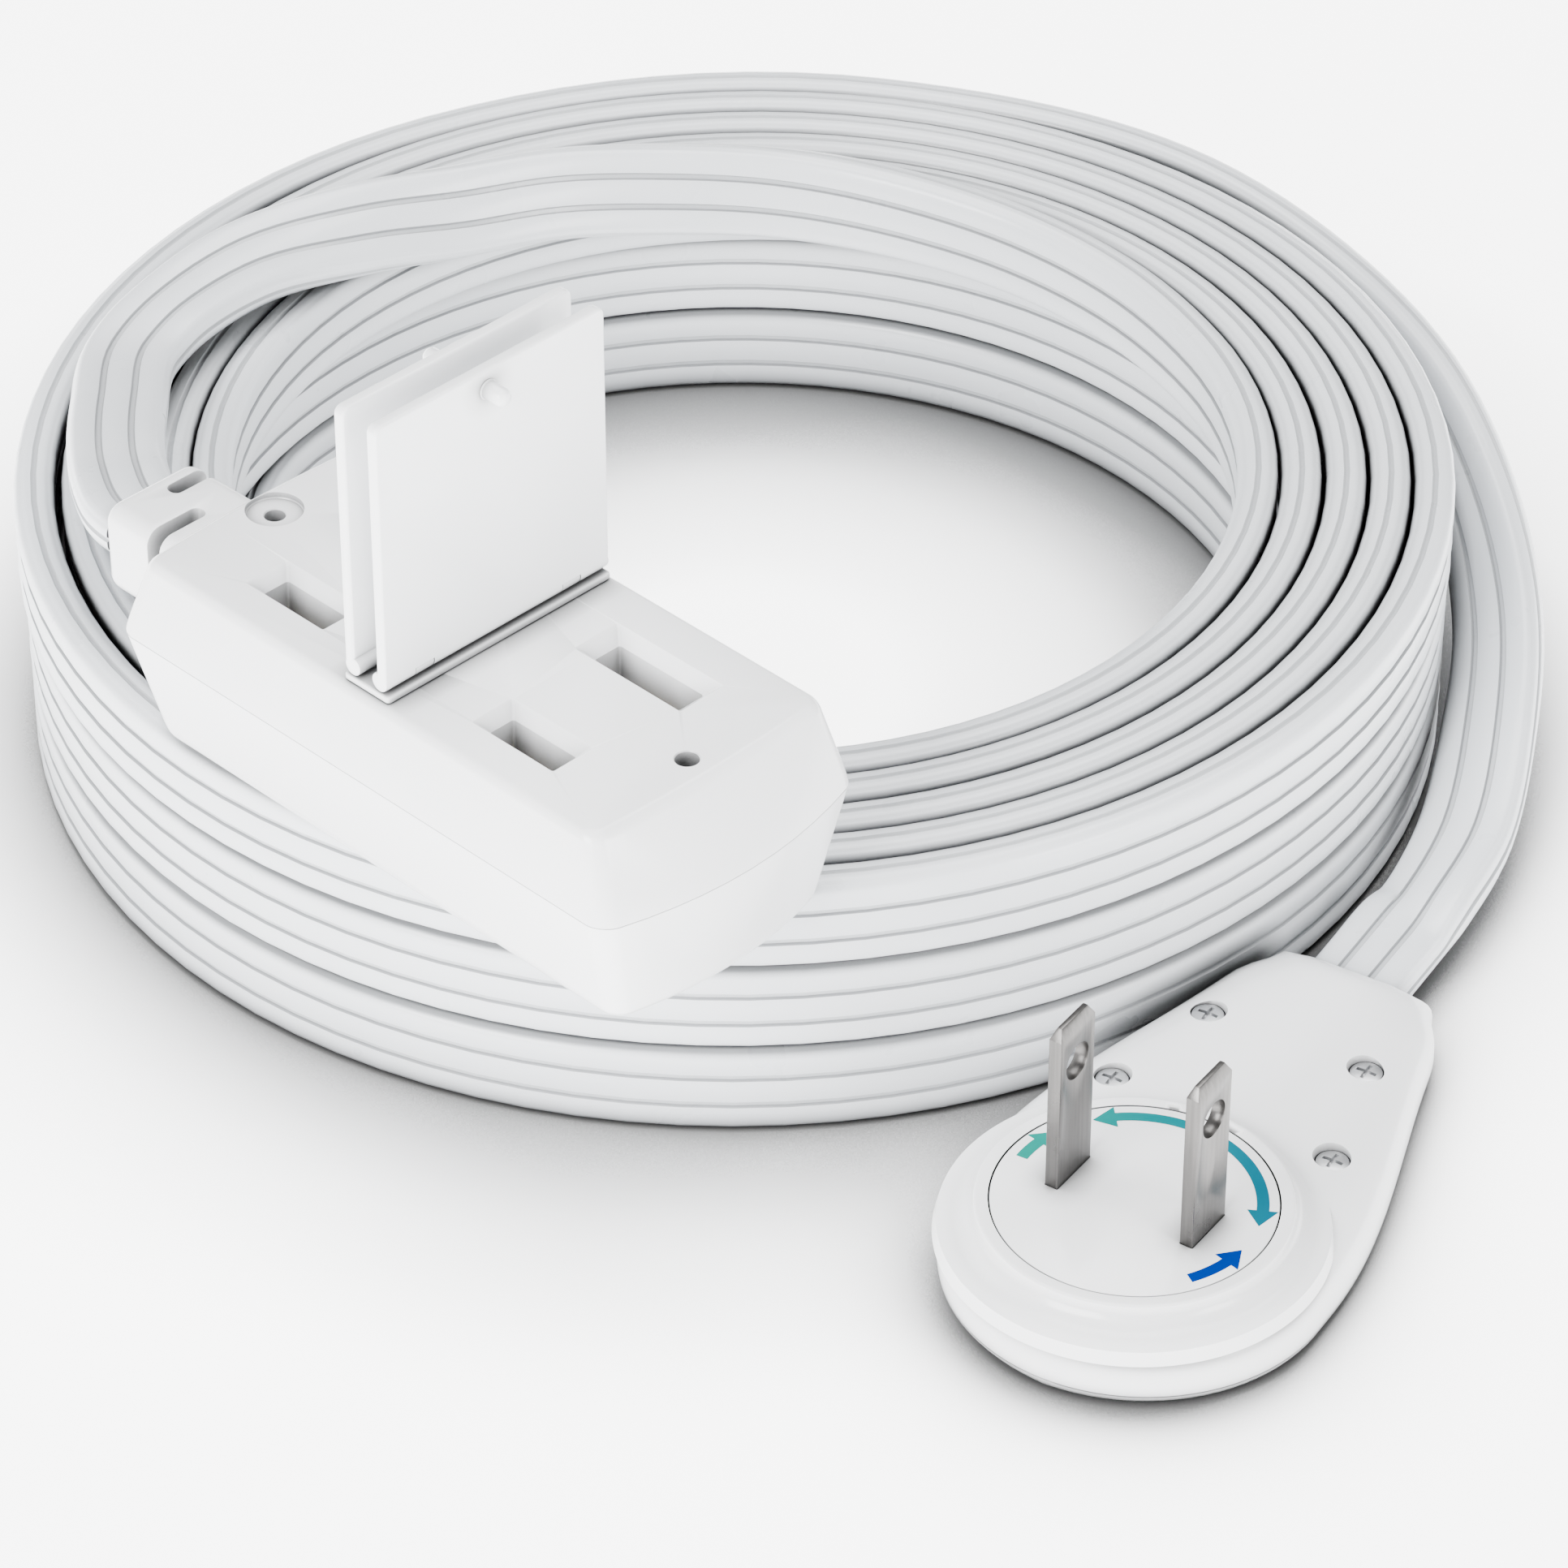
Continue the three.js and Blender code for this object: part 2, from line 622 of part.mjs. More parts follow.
/** Spring wiper: a flat strip rising to press on its slip ring. */
function wiper(radius, across, reach) {
  const z = [2.9, 2.9, 3.9, 3.9];
  const x = [17.5, Math.sqrt(radius ** 2 - across ** 2) + 4, Math.sqrt(radius ** 2 - across ** 2) + 1, reach];
  const ring = (i) =>
    [[-0.9, 0], [0.9, 0], [0.9, 0.35], [-0.9, 0.35]].map(([y, up]) => new THREE.Vector3(x[i], across + y, z[i] + up));
  return loft([ring(3), ring(2), ring(1), ring(0)]);
}

/** Insulated conductor from the cord to its wiper. */
function plugConductor(side) {
  const points = [
    [33.6, side * 1.9, 3.6],
    [28.0, side * 2.2, 3.7],
    [22.0, side * 3.0, 3.9],
    [18.2, side * 3.4, 3.9],
  ].map(([x, y, z]) => new THREE.Vector3(x, y, z));
  return roundSweep(points, 0.6, 8);
}

// ---------------------------------------------------------------- cord

/** A round solid following the points. */
function roundSweep(points, radius, sides) {
  const curve = new THREE.CatmullRomCurve3(points);
  const shape = new THREE.Shape(circle(radius, 0, 0, sides).map(([x, y]) => new THREE.Vector2(x, y)));
  const options = { steps: points.length * 3, bevelEnabled: false, extrudePath: curve };
  return solid(new THREE.ExtrudeGeometry(shape, options));
}

/** A flat ribbon along stations { centre, across }, where across points along its width. */
function ribbon(stations) {
  const rings = stations.map(({ centre, across }, i) => {
    const before = stations[Math.max(i - 1, 0)].centre;
    const after = stations[Math.min(i + 1, stations.length - 1)].centre;
    const along = after.clone().sub(before).normalize();
    const wide = across.clone().addScaledVector(along, -across.dot(along)).normalize();
    const thick = along.clone().cross(wide);
    return Array.from({ length: CORD.sides }, (_, k) => {
      const angle = (k / CORD.sides) * Math.PI * 2;
      const [c, s] = [Math.cos(angle), Math.sin(angle)];
      const w = Math.sign(c) * Math.abs(c) ** 0.6 * (CORD.width / 2);
      const t = Math.sign(s) * Math.abs(s) ** 0.6 * (CORD.thickness / 2);
      return centre.clone().addScaledVector(wide, w).addScaledVector(thick, t);
    });
  });
  return loft(rings);
}

/** Station at a bearing around the coil: tilt 0 stands on edge, 90 lies flat. */
function coilStation(bearing, radius, z, tilt) {
  const a = THREE.MathUtils.degToRad(bearing);
  const t = THREE.MathUtils.degToRad(tilt);
  const outward = new THREE.Vector3(Math.cos(a), Math.sin(a), 0);
  return {
    centre: outward.clone().multiplyScalar(radius).setZ(z),
    across: outward.clone().multiplyScalar(Math.sin(t)).setZ(Math.cos(t)),
  };
}

/** Stations resampled evenly by straight blending of a sparse list. */
function refine(stations, steps) {
  const centres = new THREE.CatmullRomCurve3(stations.map((station) => station.centre), false, "centripetal");
  const fine = [];
  for (let i = 0; i <= steps; i++) {
    const share = (i / steps) * (stations.length - 1);
    const index = Math.min(Math.floor(share), stations.length - 2);
    const across = stations[index].across.clone().lerp(stations[index + 1].across, share - index);
    fine.push({ centre: centres.getPoint(i / steps), across });
  }
  return fine;
}

const TOP_TIER_Z = COIL.height - COIL.tierHeight / 2;
const FLAT_LIFT = CORD.thickness / 2 + 0.35;

// Where the block lead climbs out of the inside of the coil: bearing, radius, height, tilt.
const CLIMB = [
  [38, 45.8, 22.0, 2],
  [55, 45.3, 22.7, 4],
  [72, 44.6, 23.7, 9],
  [86, 44.1, 24.7, 16],
  [100, 43.6, 25.7, 23],
  [113, 43.8, 26.8, 29],
  [126, 44.3, 27.7, 36],
  [139, 46.3, 29.2, 52],
  [152, 50.2, 30.0, 74],
  [163, 53.3, 29.6, 88],
];

// The flat run of the block lead from the coil's top to the strain relief, from the coil's axis.
const FLAT_RUN = [
  [-54.0, 9.0, 29.2],
  [-54.1, -2.0, 31.0],
  [-53.4, -12.0, 33.2],
  [-52.3, -19.0, 35.0],
  [-50.8, -24.0, 35.7],
  [-49.5, -25.6, 35.7],
];

function blockLead() {
  const stations = [];
  for (let bearing = -102; bearing <= 28; bearing += 10) {
    stations.push(coilStation(bearing, COIL.innerRadius - FLAT_LIFT, TOP_TIER_Z, 0));
  }
  stations.push(...CLIMB.map((row) => coilStation(...row)));
  FLAT_RUN.forEach(([x, y, z], i) => {
    const [from, to] = [FLAT_RUN[Math.max(i - 1, 0)], FLAT_RUN[Math.min(i + 1, FLAT_RUN.length - 1)]];
    const across = new THREE.Vector3(to[1] - from[1], from[0] - to[0], 0).normalize();
    stations.push({ centre: new THREE.Vector3(x, y, z), across });
  });
  return ribbon(refine(stations, 76));
}

// Where the plug lead runs down the outside of the coil to the floor: bearing, radius, height, tilt.
const LEAVE = [
  [50, 65.4, 21.1, 0],
  [34, 66.4, 19.1, 7],
  [20, 67.2, 16.7, 20],
  [8, 67.6, 13.4, 35],
  [-4, 68.1, 10.1, 53],
  [-15, 68.5, 7.5, 71],
  [-25, 69.8, 5.2, 80],
  [-33, 70.5, 4.3, 76],
];

function plugLead() {
  const stations = LEAVE.map((row) => coilStation(...row));
  const turn = THREE.MathUtils.degToRad(PLUG.turnDeg);
  const axis = new THREE.Vector3(Math.cos(turn), Math.sin(turn), 0);
  const across = new THREE.Vector3(Math.sin(turn), -Math.cos(turn), 0);
  for (const [reach, z] of [[48.0, 4.0], [43.0, 3.9], [38.0, PLUG.cordZ], [35.0, PLUG.cordZ]]) {
    const centre = new THREE.Vector3(PLUG.x - COIL.x, PLUG.y - COIL.y, z).addScaledVector(axis, reach);
    stations.push({ centre, across });
  }
  return ribbon(refine(stations, 48));
}

/** The coiled part of the cord: turns side by side in three tiers, drawn as one ring. */
function coilRing() {
  const { innerRadius, outerRadius, height } = COIL;
  const profile = [
    [innerRadius, 0],
    [outerRadius, 0],
    [outerRadius, height],
    [innerRadius, height],
    [innerRadius, 0],
  ];
  return turned(profile, 72);
}

// ---------------------------------------------------------------- assembly

const blockPlace = placement(BLOCK.x, BLOCK.y, BLOCK.turnDeg);
const plugPlace = placement(PLUG.x, PLUG.y, PLUG.turnDeg);
const rotorPlace = placement(PLUG.x, PLUG.y, PLUG.turnDeg - 90 + ROTOR.turnDeg);
const coilPlace = placement(COIL.x, COIL.y, 0);

const parts = [
  part("block_upper_shell", blockUpperShell(), GLOSS_WHITE, blockPlace),
  part("block_lower_shell", blockLowerShell(), GLOSS_WHITE, blockPlace),
  part("hinge_strip", hingeStrip(), GLOSS_WHITE, blockPlace),
  part("strain_relief", strainRelief(), GLOSS_WHITE, blockPlace),
  part("bus_bar_neutral", busBar(NEUTRAL_Y, 1), BRASS, blockPlace),
  part("bus_bar_line", busBar(LINE_Y, -1), BRASS, blockPlace),
  part("block_conductor_neutral", blockConductor(1), COPPER, blockPlace),
  part("block_conductor_line", blockConductor(-1), COPPER, blockPlace),
  part("plug_upper_housing", plugUpperHousing(), GLOSS_WHITE, plugPlace),
  part("plug_lower_housing", plugLowerHousing(), GLOSS_WHITE, plugPlace),
  part("wiper_inner", wiper(4.4, 3.4, -1.5), BRASS, plugPlace),
  part("wiper_outer", wiper(8.6, -3.4, 4.5), BRASS, plugPlace),
  part("plug_conductor_neutral", plugConductor(1), COPPER, plugPlace),
  part("plug_conductor_line", plugConductor(-1), COPPER, plugPlace),
  part("plug_rotor", plugRotor(), GLOSS_WHITE, rotorPlace),
  part("blade_line", plugBlade(1), NICKEL, rotorPlace),
  part("blade_neutral", plugBlade(-1), NICKEL, rotorPlace),
  part("slip_ring_inner", washer(3.5, 5.3, 4.5, 4.95), COPPER, rotorPlace),
  part("slip_ring_outer", washer(7.7, 9.5, 4.5, 4.95), COPPER, rotorPlace),
  part("cord_coil", coilRing(), CORD_WHITE, coilPlace),
  part("cord_block_lead", blockLead(), CORD_WHITE, coilPlace),
  part("cord_plug_lead", plugLead(), CORD_WHITE, coilPlace),
];

for (const [label, side] of [["left", -1], ["right", 1]]) {
  const x = side * OUTLET.offset;
  parts.push(part(`cover_${label}`, outletCover(side), COVER_WHITE, blockPlace));
  parts.push(part(`hinge_pin_${label}`, hingePin(side), STEEL, blockPlace));
  parts.push(part(`clip_${label}_neutral`, springClip(x, NEUTRAL_Y), BRASS, blockPlace));
  parts.push(part(`clip_${label}_line`, springClip(x, LINE_Y), BRASS, blockPlace));
  parts.push(part(`block_screw_${label}`, shellScrew(side), STEEL, blockPlace));
}

PLUG_SCREWS.forEach((screw, i) => {
  parts.push(part(`plug_screw_${i + 1}`, plugScrew(screw), STEEL, plugPlace));
});

const assembly = new THREE.Group();
assembly.name = "extension_cord";
assembly.add(...parts);

export default assembly;
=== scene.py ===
"""Looks for the coiled extension cord: camera, ribbed flat cord, outlet block, covers and plug."""

import math

import bmesh
import bpy
import numpy as np
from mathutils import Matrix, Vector, noise


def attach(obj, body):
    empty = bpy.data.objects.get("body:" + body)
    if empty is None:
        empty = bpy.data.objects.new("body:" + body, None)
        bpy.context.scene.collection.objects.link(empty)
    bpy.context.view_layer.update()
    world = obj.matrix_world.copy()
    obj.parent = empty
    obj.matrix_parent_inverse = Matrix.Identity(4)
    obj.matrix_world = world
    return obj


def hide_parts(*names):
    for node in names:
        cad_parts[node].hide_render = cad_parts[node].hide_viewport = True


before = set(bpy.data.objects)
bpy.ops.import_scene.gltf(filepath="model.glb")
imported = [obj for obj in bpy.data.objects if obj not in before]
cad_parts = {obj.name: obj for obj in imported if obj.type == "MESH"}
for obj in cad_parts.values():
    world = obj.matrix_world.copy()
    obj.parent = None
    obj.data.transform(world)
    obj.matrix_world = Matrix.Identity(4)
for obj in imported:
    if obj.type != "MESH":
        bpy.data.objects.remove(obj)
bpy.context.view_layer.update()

MM = 0.001
# Faces that meet at more than this many degrees keep a sharp edge, on the moulded parts.
SHARP_ANGLE = 28.0

# ---------------------------------------------------------------- driving dimensions, millimetres

COIL_CENTRE = (-3.24, 60.25)
# Heights of the cord's middle in the coil's three tiers.
TIERS = (4.33, 13.0, 21.65)

BLOCK = {"x": -23.4, "y": 5.49, "turn": -44.84}
BLOCK_BOTTOM_Z, CREASE_Z, BLOCK_TOP_Z = 26.6, 38.2, 45.6
BLOCK_WALL = 1.8
BLOCK_CORNER = 1.6
# Half length, half width and how far the ends bow out, at the block's three levels.
BOTTOM_SIZE = (27.0, 11.3, 1.6)
CREASE_SIZE = (28.4, 14.1, 2.5)
TOP_SIZE = (26.3, 12.7, 0.5)
OUTLET_OFFSET = 13.35
ROW_CENTRE = -0.4
POLE_SPACING = 12.7
# Slot length and width, then the same for its chamfered rim.
NEUTRAL_SLOT = (9.6, 2.8, 12.0, 4.8)
LINE_SLOT = (7.2, 2.6, 9.2, 4.4)
SLEEVE_BOTTOM_Z, SLEEVE_WALL = 41.2, 1.1
SHELL_SCREW_X = 20.6

COVER_WIDTH = 24.4
COVER_THICKNESS = 1.1
COVER_REACH = 24.4
HINGE_X, HINGE_Z = 1.55, 47.35
BARREL_RADIUS, PIN_BORE_RADIUS = 0.85, 0.55
KNUCKLE_Y, KNUCKLE_LENGTH = 8.0, 2.0
PEG_REACH, PEG_RADIUS = 22.6, 0.8
STRIP_HALF_WIDTH, STRIP_THICKNESS = 2.6, 0.7

RELIEF_OUTER, RELIEF_INNER, RELIEF_HALF_WIDTH = -40.9, -31.4, 5.1
RELIEF_BOTTOM_Z, RELIEF_TOP_Z = 31.5, 40.0

PLUG = {"x": 29.06, "y": -22.15, "turn": 59.0}
PLUG_PARTING_Z, PLUG_DECK_Z, PLUG_FACE_Z = 1.65, 7.3, 9.2
PLUG_CORD_Z = 3.85
PLUG_WALL = 1.5
HEAD_RADIUS, NOSE_REACH, NOSE_HALF_WIDTH = 16.4, 39.4, 6.2
COLLAR_RADIUS = 12.95
ROTOR = {"x": 29.06, "y": -22.15, "turn": 59.0 - 90.0 - 3.4}
ROTOR_RADIUS = 11.65
ARROW_RADIUS = 10.3
BLADE_WIDTH, BLADE_THICKNESS, BLADE_LENGTH = 5.0, 1.2, 16.0
# Each screw's distance along and across the plug from the disc's middle.
PLUG_SCREWS = ((15.0, 10.2), (15.0, -10.2), (26.5, 7.4), (26.5, -7.4))
SCREW_SEAT_Z = 6.15


# ---------------------------------------------------------------- camera

def make_camera():
    """Camera at the photograph's viewing angle."""
    data = bpy.data.cameras.new("photo_camera")
    data.sensor_width = 36.0
    data.lens = 153.2
    data.clip_start = 0.01
    data.clip_end = 20.0
    camera = bpy.data.objects.new("photo_camera", data)
    bpy.context.collection.objects.link(camera)
    camera.location = Vector((1.0, -427.67, 358.52)) * MM
    camera.rotation_euler = (math.radians(90.0 - 37.18), 0.0, 0.0)
    bpy.context.scene.camera = camera


make_camera()


# ---------------------------------------------------------------- mesh helpers

def smoothstep(share):
    """Ease in and out between 0 and 1."""
    share = min(max(share, 0.0), 1.0)
    return share * share * (3.0 - 2.0 * share)


def new_object(name, vertices, faces, smooth_angle=35.0):
    """A linked mesh object facing outwards, smooth except where faces meet past the angle."""
    mesh = bpy.data.meshes.new(name)
    mesh.from_pydata([tuple(v) for v in vertices], [], faces)
    shape = bmesh.new()
    shape.from_mesh(mesh)
    bmesh.ops.recalc_face_normals(shape, faces=shape.faces)
    shape.to_mesh(mesh)
    shape.free()
    obj = bpy.data.objects.new(name, mesh)
    bpy.context.collection.objects.link(obj)
    shade(obj, smooth_angle)
    return obj


def shade(obj, angle):
    """Smooth shading with sharp edges past the angle."""
    mesh = obj.data
    mesh.polygons.foreach_set("use_smooth", [True] * len(mesh.polygons))
    mesh.set_sharp_from_angle(angle=math.radians(angle))
    mesh.update()


def skin(name, rings, smooth_angle=35.0):
    """A closed solid through rings of points (rings x points x 3), capped at both ends."""
    rings = np.asarray(rings, dtype=float)
    count, sides = rings.shape[0], rings.shape[1]
    faces = []
    for ring in range(count - 1):
        for i in range(sides):
            a = ring * sides + i
            b = ring * sides + (i + 1) % sides
            faces.append((a, b, b + sides, a + sides))
    faces.append(tuple(reversed(range(sides))))
    faces.append(tuple(range((count - 1) * sides, count * sides)))
    return new_object(name, rings.reshape(-1, 3), faces, smooth_angle)


def baked(obj, angle):
    """The object's modifiers applied to its mesh."""
    depsgraph = bpy.context.evaluated_depsgraph_get()
    mesh = bpy.data.meshes.new_from_object(obj.evaluated_get(depsgraph))
    obj.modifiers.clear()
    obj.data = mesh
    shade(obj, angle)
    return obj


def gathered(objects):
    """Several objects' meshes as one object, which keeps the first one's name."""
    whole = bmesh.new()
    for obj in objects:
        whole.from_mesh(obj.data)
    first = objects[0]
    whole.to_mesh(first.data)
    whole.free()
    for obj in objects[1:]:
        bpy.data.objects.remove(obj)
    return first


def combine(obj, others, operation, angle=35.0):
    """Joins or cuts the other objects, which are used up."""
    other = gathered(others)
    modifier = obj.modifiers.new("combine", "BOOLEAN")
    modifier.object = other
    modifier.operation = operation
    modifier.solver = "EXACT"
    modifier.use_self = True
    baked(obj, angle)
    bpy.data.objects.remove(other)
    return obj


def joined(obj, *others, angle=35.0):
    """The union of the objects."""
    return combine(obj, list(others), "UNION", angle)


def cut(obj, *others, angle=35.0):
    """The first object with the others cut out of it."""
    return combine(obj, list(others), "DIFFERENCE", angle)


def rounded(obj, width, segments=2, limit=35.0, angle=35.0):
    """Rounds the edges sharper than the limit, width in millimetres."""
    modifier = obj.modifiers.new("round", "BEVEL")
    modifier.width = width * MM
    modifier.segments = segments
    modifier.limit_method = "ANGLE"
    modifier.angle_limit = math.radians(limit)
    return baked(obj, angle)


def placed(points, place):
    """Local millimetre points turned and moved to the row frame, in metres."""
    points = np.asarray(points, dtype=float)
    turn = math.radians(place["turn"])
    c, s = math.cos(turn), math.sin(turn)
    moved = np.empty_like(points)
    moved[..., 0] = place["x"] + points[..., 0] * c - points[..., 1] * s
    moved[..., 1] = place["y"] + points[..., 0] * s + points[..., 1] * c
    moved[..., 2] = points[..., 2]
    return moved * MM


def ring_at(outline, z):
    """Flat outline points lifted to a height."""
    return [(x, y, z) for x, y in outline]


def circle(radius, x=0.0, y=0.0, sides=48):
    """Points of a circle, counter-clockwise."""
    turns = [2.0 * math.pi * i / sides for i in range(sides)]
    return [(x + radius * math.cos(a), y + radius * math.sin(a)) for a in turns]


def rectangle(length, width, x=0.0, y=0.0, corner=0.1, steps=4):
    """A rectangle with rounded corners."""
    a, b = length / 2.0 - corner, width / 2.0 - corner
    points = []
    for sx, sy, start in ((1, -1, -90), (1, 1, 0), (-1, 1, 90), (-1, -1, 180)):
        for step in range(steps + 1):
            angle = math.radians(start + 90.0 * step / steps)
            points.append((x + sx * a + corner * math.cos(angle), y + sy * b + corner * math.sin(angle)))
    return points


def turned(name, profile, place, x=0.0, y=0.0, sides=96, angle=35.0):
    """A solid of revolution about an upright axis from (radius, z) points that start and end on it."""
    rings = [ring_at(circle(max(radius, 0.002), x, y, sides), z) for radius, z in profile]
    return skin(name, placed(rings, place), smooth_angle=angle)


def post(radius, z0, z1, place, x=0.0, y=0.0, sides=48):
    """A plain upright round cutter or boss."""
    return turned("post", [(radius, z0), (radius, z1)], place, x, y, sides)


def box(x0, x1, y0, y1, z0, z1, place):
    """A plain box used as a cutter or a rib."""
    outline = [(x0, y0), (x1, y0), (x1, y1), (x0, y1)]
    return skin("box", placed([ring_at(outline, z0), ring_at(outline, z1)], place))


def slab(name, outline_at, d0, d1, edge, to_point, place):
    """A plate with rounded edges: outline_at(inset) is its outline, d0 to d1 its thickness."""
    layers = []
    for degrees in (0, 30, 60, 90):
        a = math.radians(degrees)
        layers.append((d0 + edge * (1.0 - math.sin(a)), edge * (1.0 - math.cos(a))))
    near = [(depth, inset) for depth, inset in reversed(layers)]
    far = [(d0 + d1 - depth, inset) for depth, inset in layers]
    rings = []
    for depth, inset in near + far:
        rings.append([to_point(p, q, depth) for p, q in outline_at(inset)])
    return skin(name, placed(rings, place))


def bar_along_y(name, radius, y0, y1, x, z, place, edge=0.0):
    """A round bar lying along Y, its ends rounded if an edge radius is given."""
    profile = [(y0, radius - edge), (y0 + edge * 0.4, radius - edge * 0.2), (y0 + edge, radius)]
    profile += [(y0 + y1 - y, r) for y, r in reversed(profile)]
    if not edge:
        profile = [(y0, radius), (y1, radius)]
    rings = [[(px, y, pz) for px, pz in circle(r, x, z, 32)] for y, r in profile]
    return skin(name, placed(rings, place))


def claim(obj, body, nodes, material):
    """The piece rides its body, stands for its CAD nodes and gets its material."""
    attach(obj, body)
    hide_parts(*nodes)
    obj.data.materials.clear()
    obj.data.materials.append(material)


# ---------------------------------------------------------------- materials

def material_with(name):
    """A new node material, its node tree, its Principled shader and its object coordinates."""
    material = bpy.data.materials.new(name)
    material.use_nodes = True
    tree = material.node_tree
    shader = tree.nodes["Principled BSDF"]
    place = tree.nodes.new("ShaderNodeTexCoord").outputs["Object"]
    return material, tree, shader, place


def noise_texture(tree, place, scale, detail=3.0, stretch=None):
    """Noise at a scale per metre, stretched along the axes if asked."""
    if stretch:
        mapping = tree.nodes.new("ShaderNodeMapping")
        mapping.inputs["Scale"].default_value = stretch
        tree.links.new(place, mapping.inputs["Vector"])
        place = mapping.outputs["Vector"]
    texture = tree.nodes.new("ShaderNodeTexNoise")
    texture.inputs["Scale"].default_value = scale
    texture.inputs["Detail"].default_value = detail
    tree.links.new(place, texture.inputs["Vector"])
    return texture.outputs["Fac"]


def colour_ramp(tree, value, low, high, start=0.3, end=0.7):
    """Two colours blended by a value."""
    ramp = tree.nodes.new("ShaderNodeValToRGB")
    ramp.color_ramp.elements[0].position = start
    ramp.color_ramp.elements[0].color = (*low, 1.0)
    ramp.color_ramp.elements[1].position = end
    ramp.color_ramp.elements[1].color = (*high, 1.0)
    tree.links.new(value, ramp.inputs["Fac"])
    return ramp.outputs["Color"]


def ranged(tree, value, low, high):
    """A value from the noise's usual spread mapped to low and high."""
    node = tree.nodes.new("ShaderNodeMapRange")
    node.inputs["From Min"].default_value = 0.3
    node.inputs["From Max"].default_value = 0.7
    node.inputs["To Min"].default_value = low
    node.inputs["To Max"].default_value = high
    tree.links.new(value, node.inputs["Value"])
    return node.outputs["Result"]


def bumped(tree, shader, height, distance, strength=1.0):
    """A bump of the given depth in metres."""
    bump = tree.nodes.new("ShaderNodeBump")
    bump.inputs["Distance"].default_value = distance
    bump.inputs["Strength"].default_value = strength
    tree.links.new(height, bump.inputs["Height"])
    tree.links.new(bump.outputs["Normal"], shader.inputs["Normal"])


def painted_recess_shade(tree, colour, reach):
    """The colour with painted shade: darker where other surfaces stand within reach, as in grooves and gaps.
    """
    shadow = tree.nodes.new("ShaderNodeAmbientOcclusion")
    shadow.samples = 6
    shadow.inputs["Distance"].default_value = reach
    deeper = tree.nodes.new("ShaderNodeGamma")
    deeper.inputs["Gamma"].default_value = 1.7
    tree.links.new(shadow.outputs["Color"], deeper.inputs["Color"])
    blend = tree.nodes.new("ShaderNodeMixRGB")
    blend.blend_type = "MULTIPLY"
    blend.inputs["Fac"].default_value = 1.0
    tree.links.new(colour, blend.inputs["Color1"])
    tree.links.new(deeper.outputs["Color"], blend.inputs["Color2"])
    return blend.outputs["Color"]


def moulded_plastic(name, light, dark, smooth, rough, recess, coat=0.25):
    """Moulded white plastic: faint flow marks, uneven gloss, a very fine skin texture and painted shade in
    its grooves and gaps.
    """
    material, tree, shader, place = material_with(name)
    flow = noise_texture(tree, place, 45.0, 2.0)
    grain = noise_texture(tree, place, 900.0, 4.0)
    # Flow-mark tone, then painted shade in grooves and gaps within the recess reach.
    colour = painted_recess_shade(tree, colour_ramp(tree, flow, dark, light), recess)
    tree.links.new(colour, shader.inputs["Base Color"])
    tree.links.new(ranged(tree, noise_texture(tree, place, 160.0), smooth, rough), shader.inputs["Roughness"])
    bumped(tree, shader, grain, 0.000012, 0.35)
    shader.inputs["Coat Weight"].default_value = coat
    shader.inputs["Coat Roughness"].default_value = 0.12
    return material


def brushed_metal(name, light, dark, smooth, rough, stretch, depth=0.000012):
    """Metal with fine draw marks along its length."""
    material, tree, shader, place = material_with(name)
    marks = noise_texture(tree, place, 1.0, 5.0, stretch)
    spots = noise_texture(tree, place, 300.0, 3.0)
    tree.links.new(colour_ramp(tree, marks, dark, light), shader.inputs["Base Color"])
    tree.links.new(ranged(tree, spots, smooth, rough), shader.inputs["Roughness"])
    bumped(tree, shader, marks, depth, 0.5)
    shader.inputs["Metallic"].default_value = 1.0
    return material


def printed_ink(name, start, end, low, high):
    """Ink that changes colour from start to end between two places along X, in metres."""
    material, tree, shader, place = material_with(name)
    split = tree.nodes.new("ShaderNodeSeparateXYZ")
    tree.links.new(place, split.inputs["Vector"])
    along = tree.nodes.new("ShaderNodeMapRange")
    along.inputs["From Min"].default_value = low
    along.inputs["From Max"].default_value = high
    tree.links.new(split.outputs["X"], along.inputs["Value"])
    blend = colour_ramp(tree, along.outputs["Result"], start, end, 0.0, 1.0)
    tree.links.new(blend, shader.inputs["Base Color"])
    grain = noise_texture(tree, place, 2500.0, 2.0)
    tree.links.new(ranged(tree, grain, 0.44, 0.56), shader.inputs["Roughness"])
    bumped(tree, shader, grain, 0.000006, 0.3)
    shader.inputs["Specular IOR Level"].default_value = 0.0
    return material


# The number after each roughness pair is how far, in metres, the painted shade in grooves and gaps reaches.
SHELL = moulded_plastic("white_shell", (0.88, 0.885, 0.895), (0.85, 0.857, 0.87), 0.18, 0.26, 0.0027)
COVER = moulded_plastic("white_cover", (0.92, 0.93, 0.94), (0.90, 0.91, 0.925), 0.18, 0.26, 0.0022)
JACKET = moulded_plastic("white_jacket", (0.72, 0.742, 0.768), (0.685, 0.71, 0.738), 0.26, 0.36, 0.003, 0.2)
# How much finer the draw marks are across each metal piece than along it, per metre.
DRAWN, STAMPED, TURNED = (3000.0, 3000.0, 90.0), (1500.0, 1500.0, 200.0), (900.0, 900.0, 900.0)
NICKEL = brushed_metal("nickel", (0.135, 0.13, 0.126), (0.10, 0.097, 0.094), 0.26, 0.36, DRAWN)
STEEL = brushed_metal("zinc_steel", (0.50, 0.505, 0.515), (0.42, 0.425, 0.435), 0.30, 0.45, TURNED)
BRASS = brushed_metal("spring_brass", (0.74, 0.57, 0.26), (0.62, 0.46, 0.19), 0.28, 0.42, STAMPED)
COPPER = brushed_metal("bare_copper", (0.72, 0.40, 0.24), (0.58, 0.30, 0.17), 0.30, 0.45, STAMPED)


# ---------------------------------------------------------------- cord

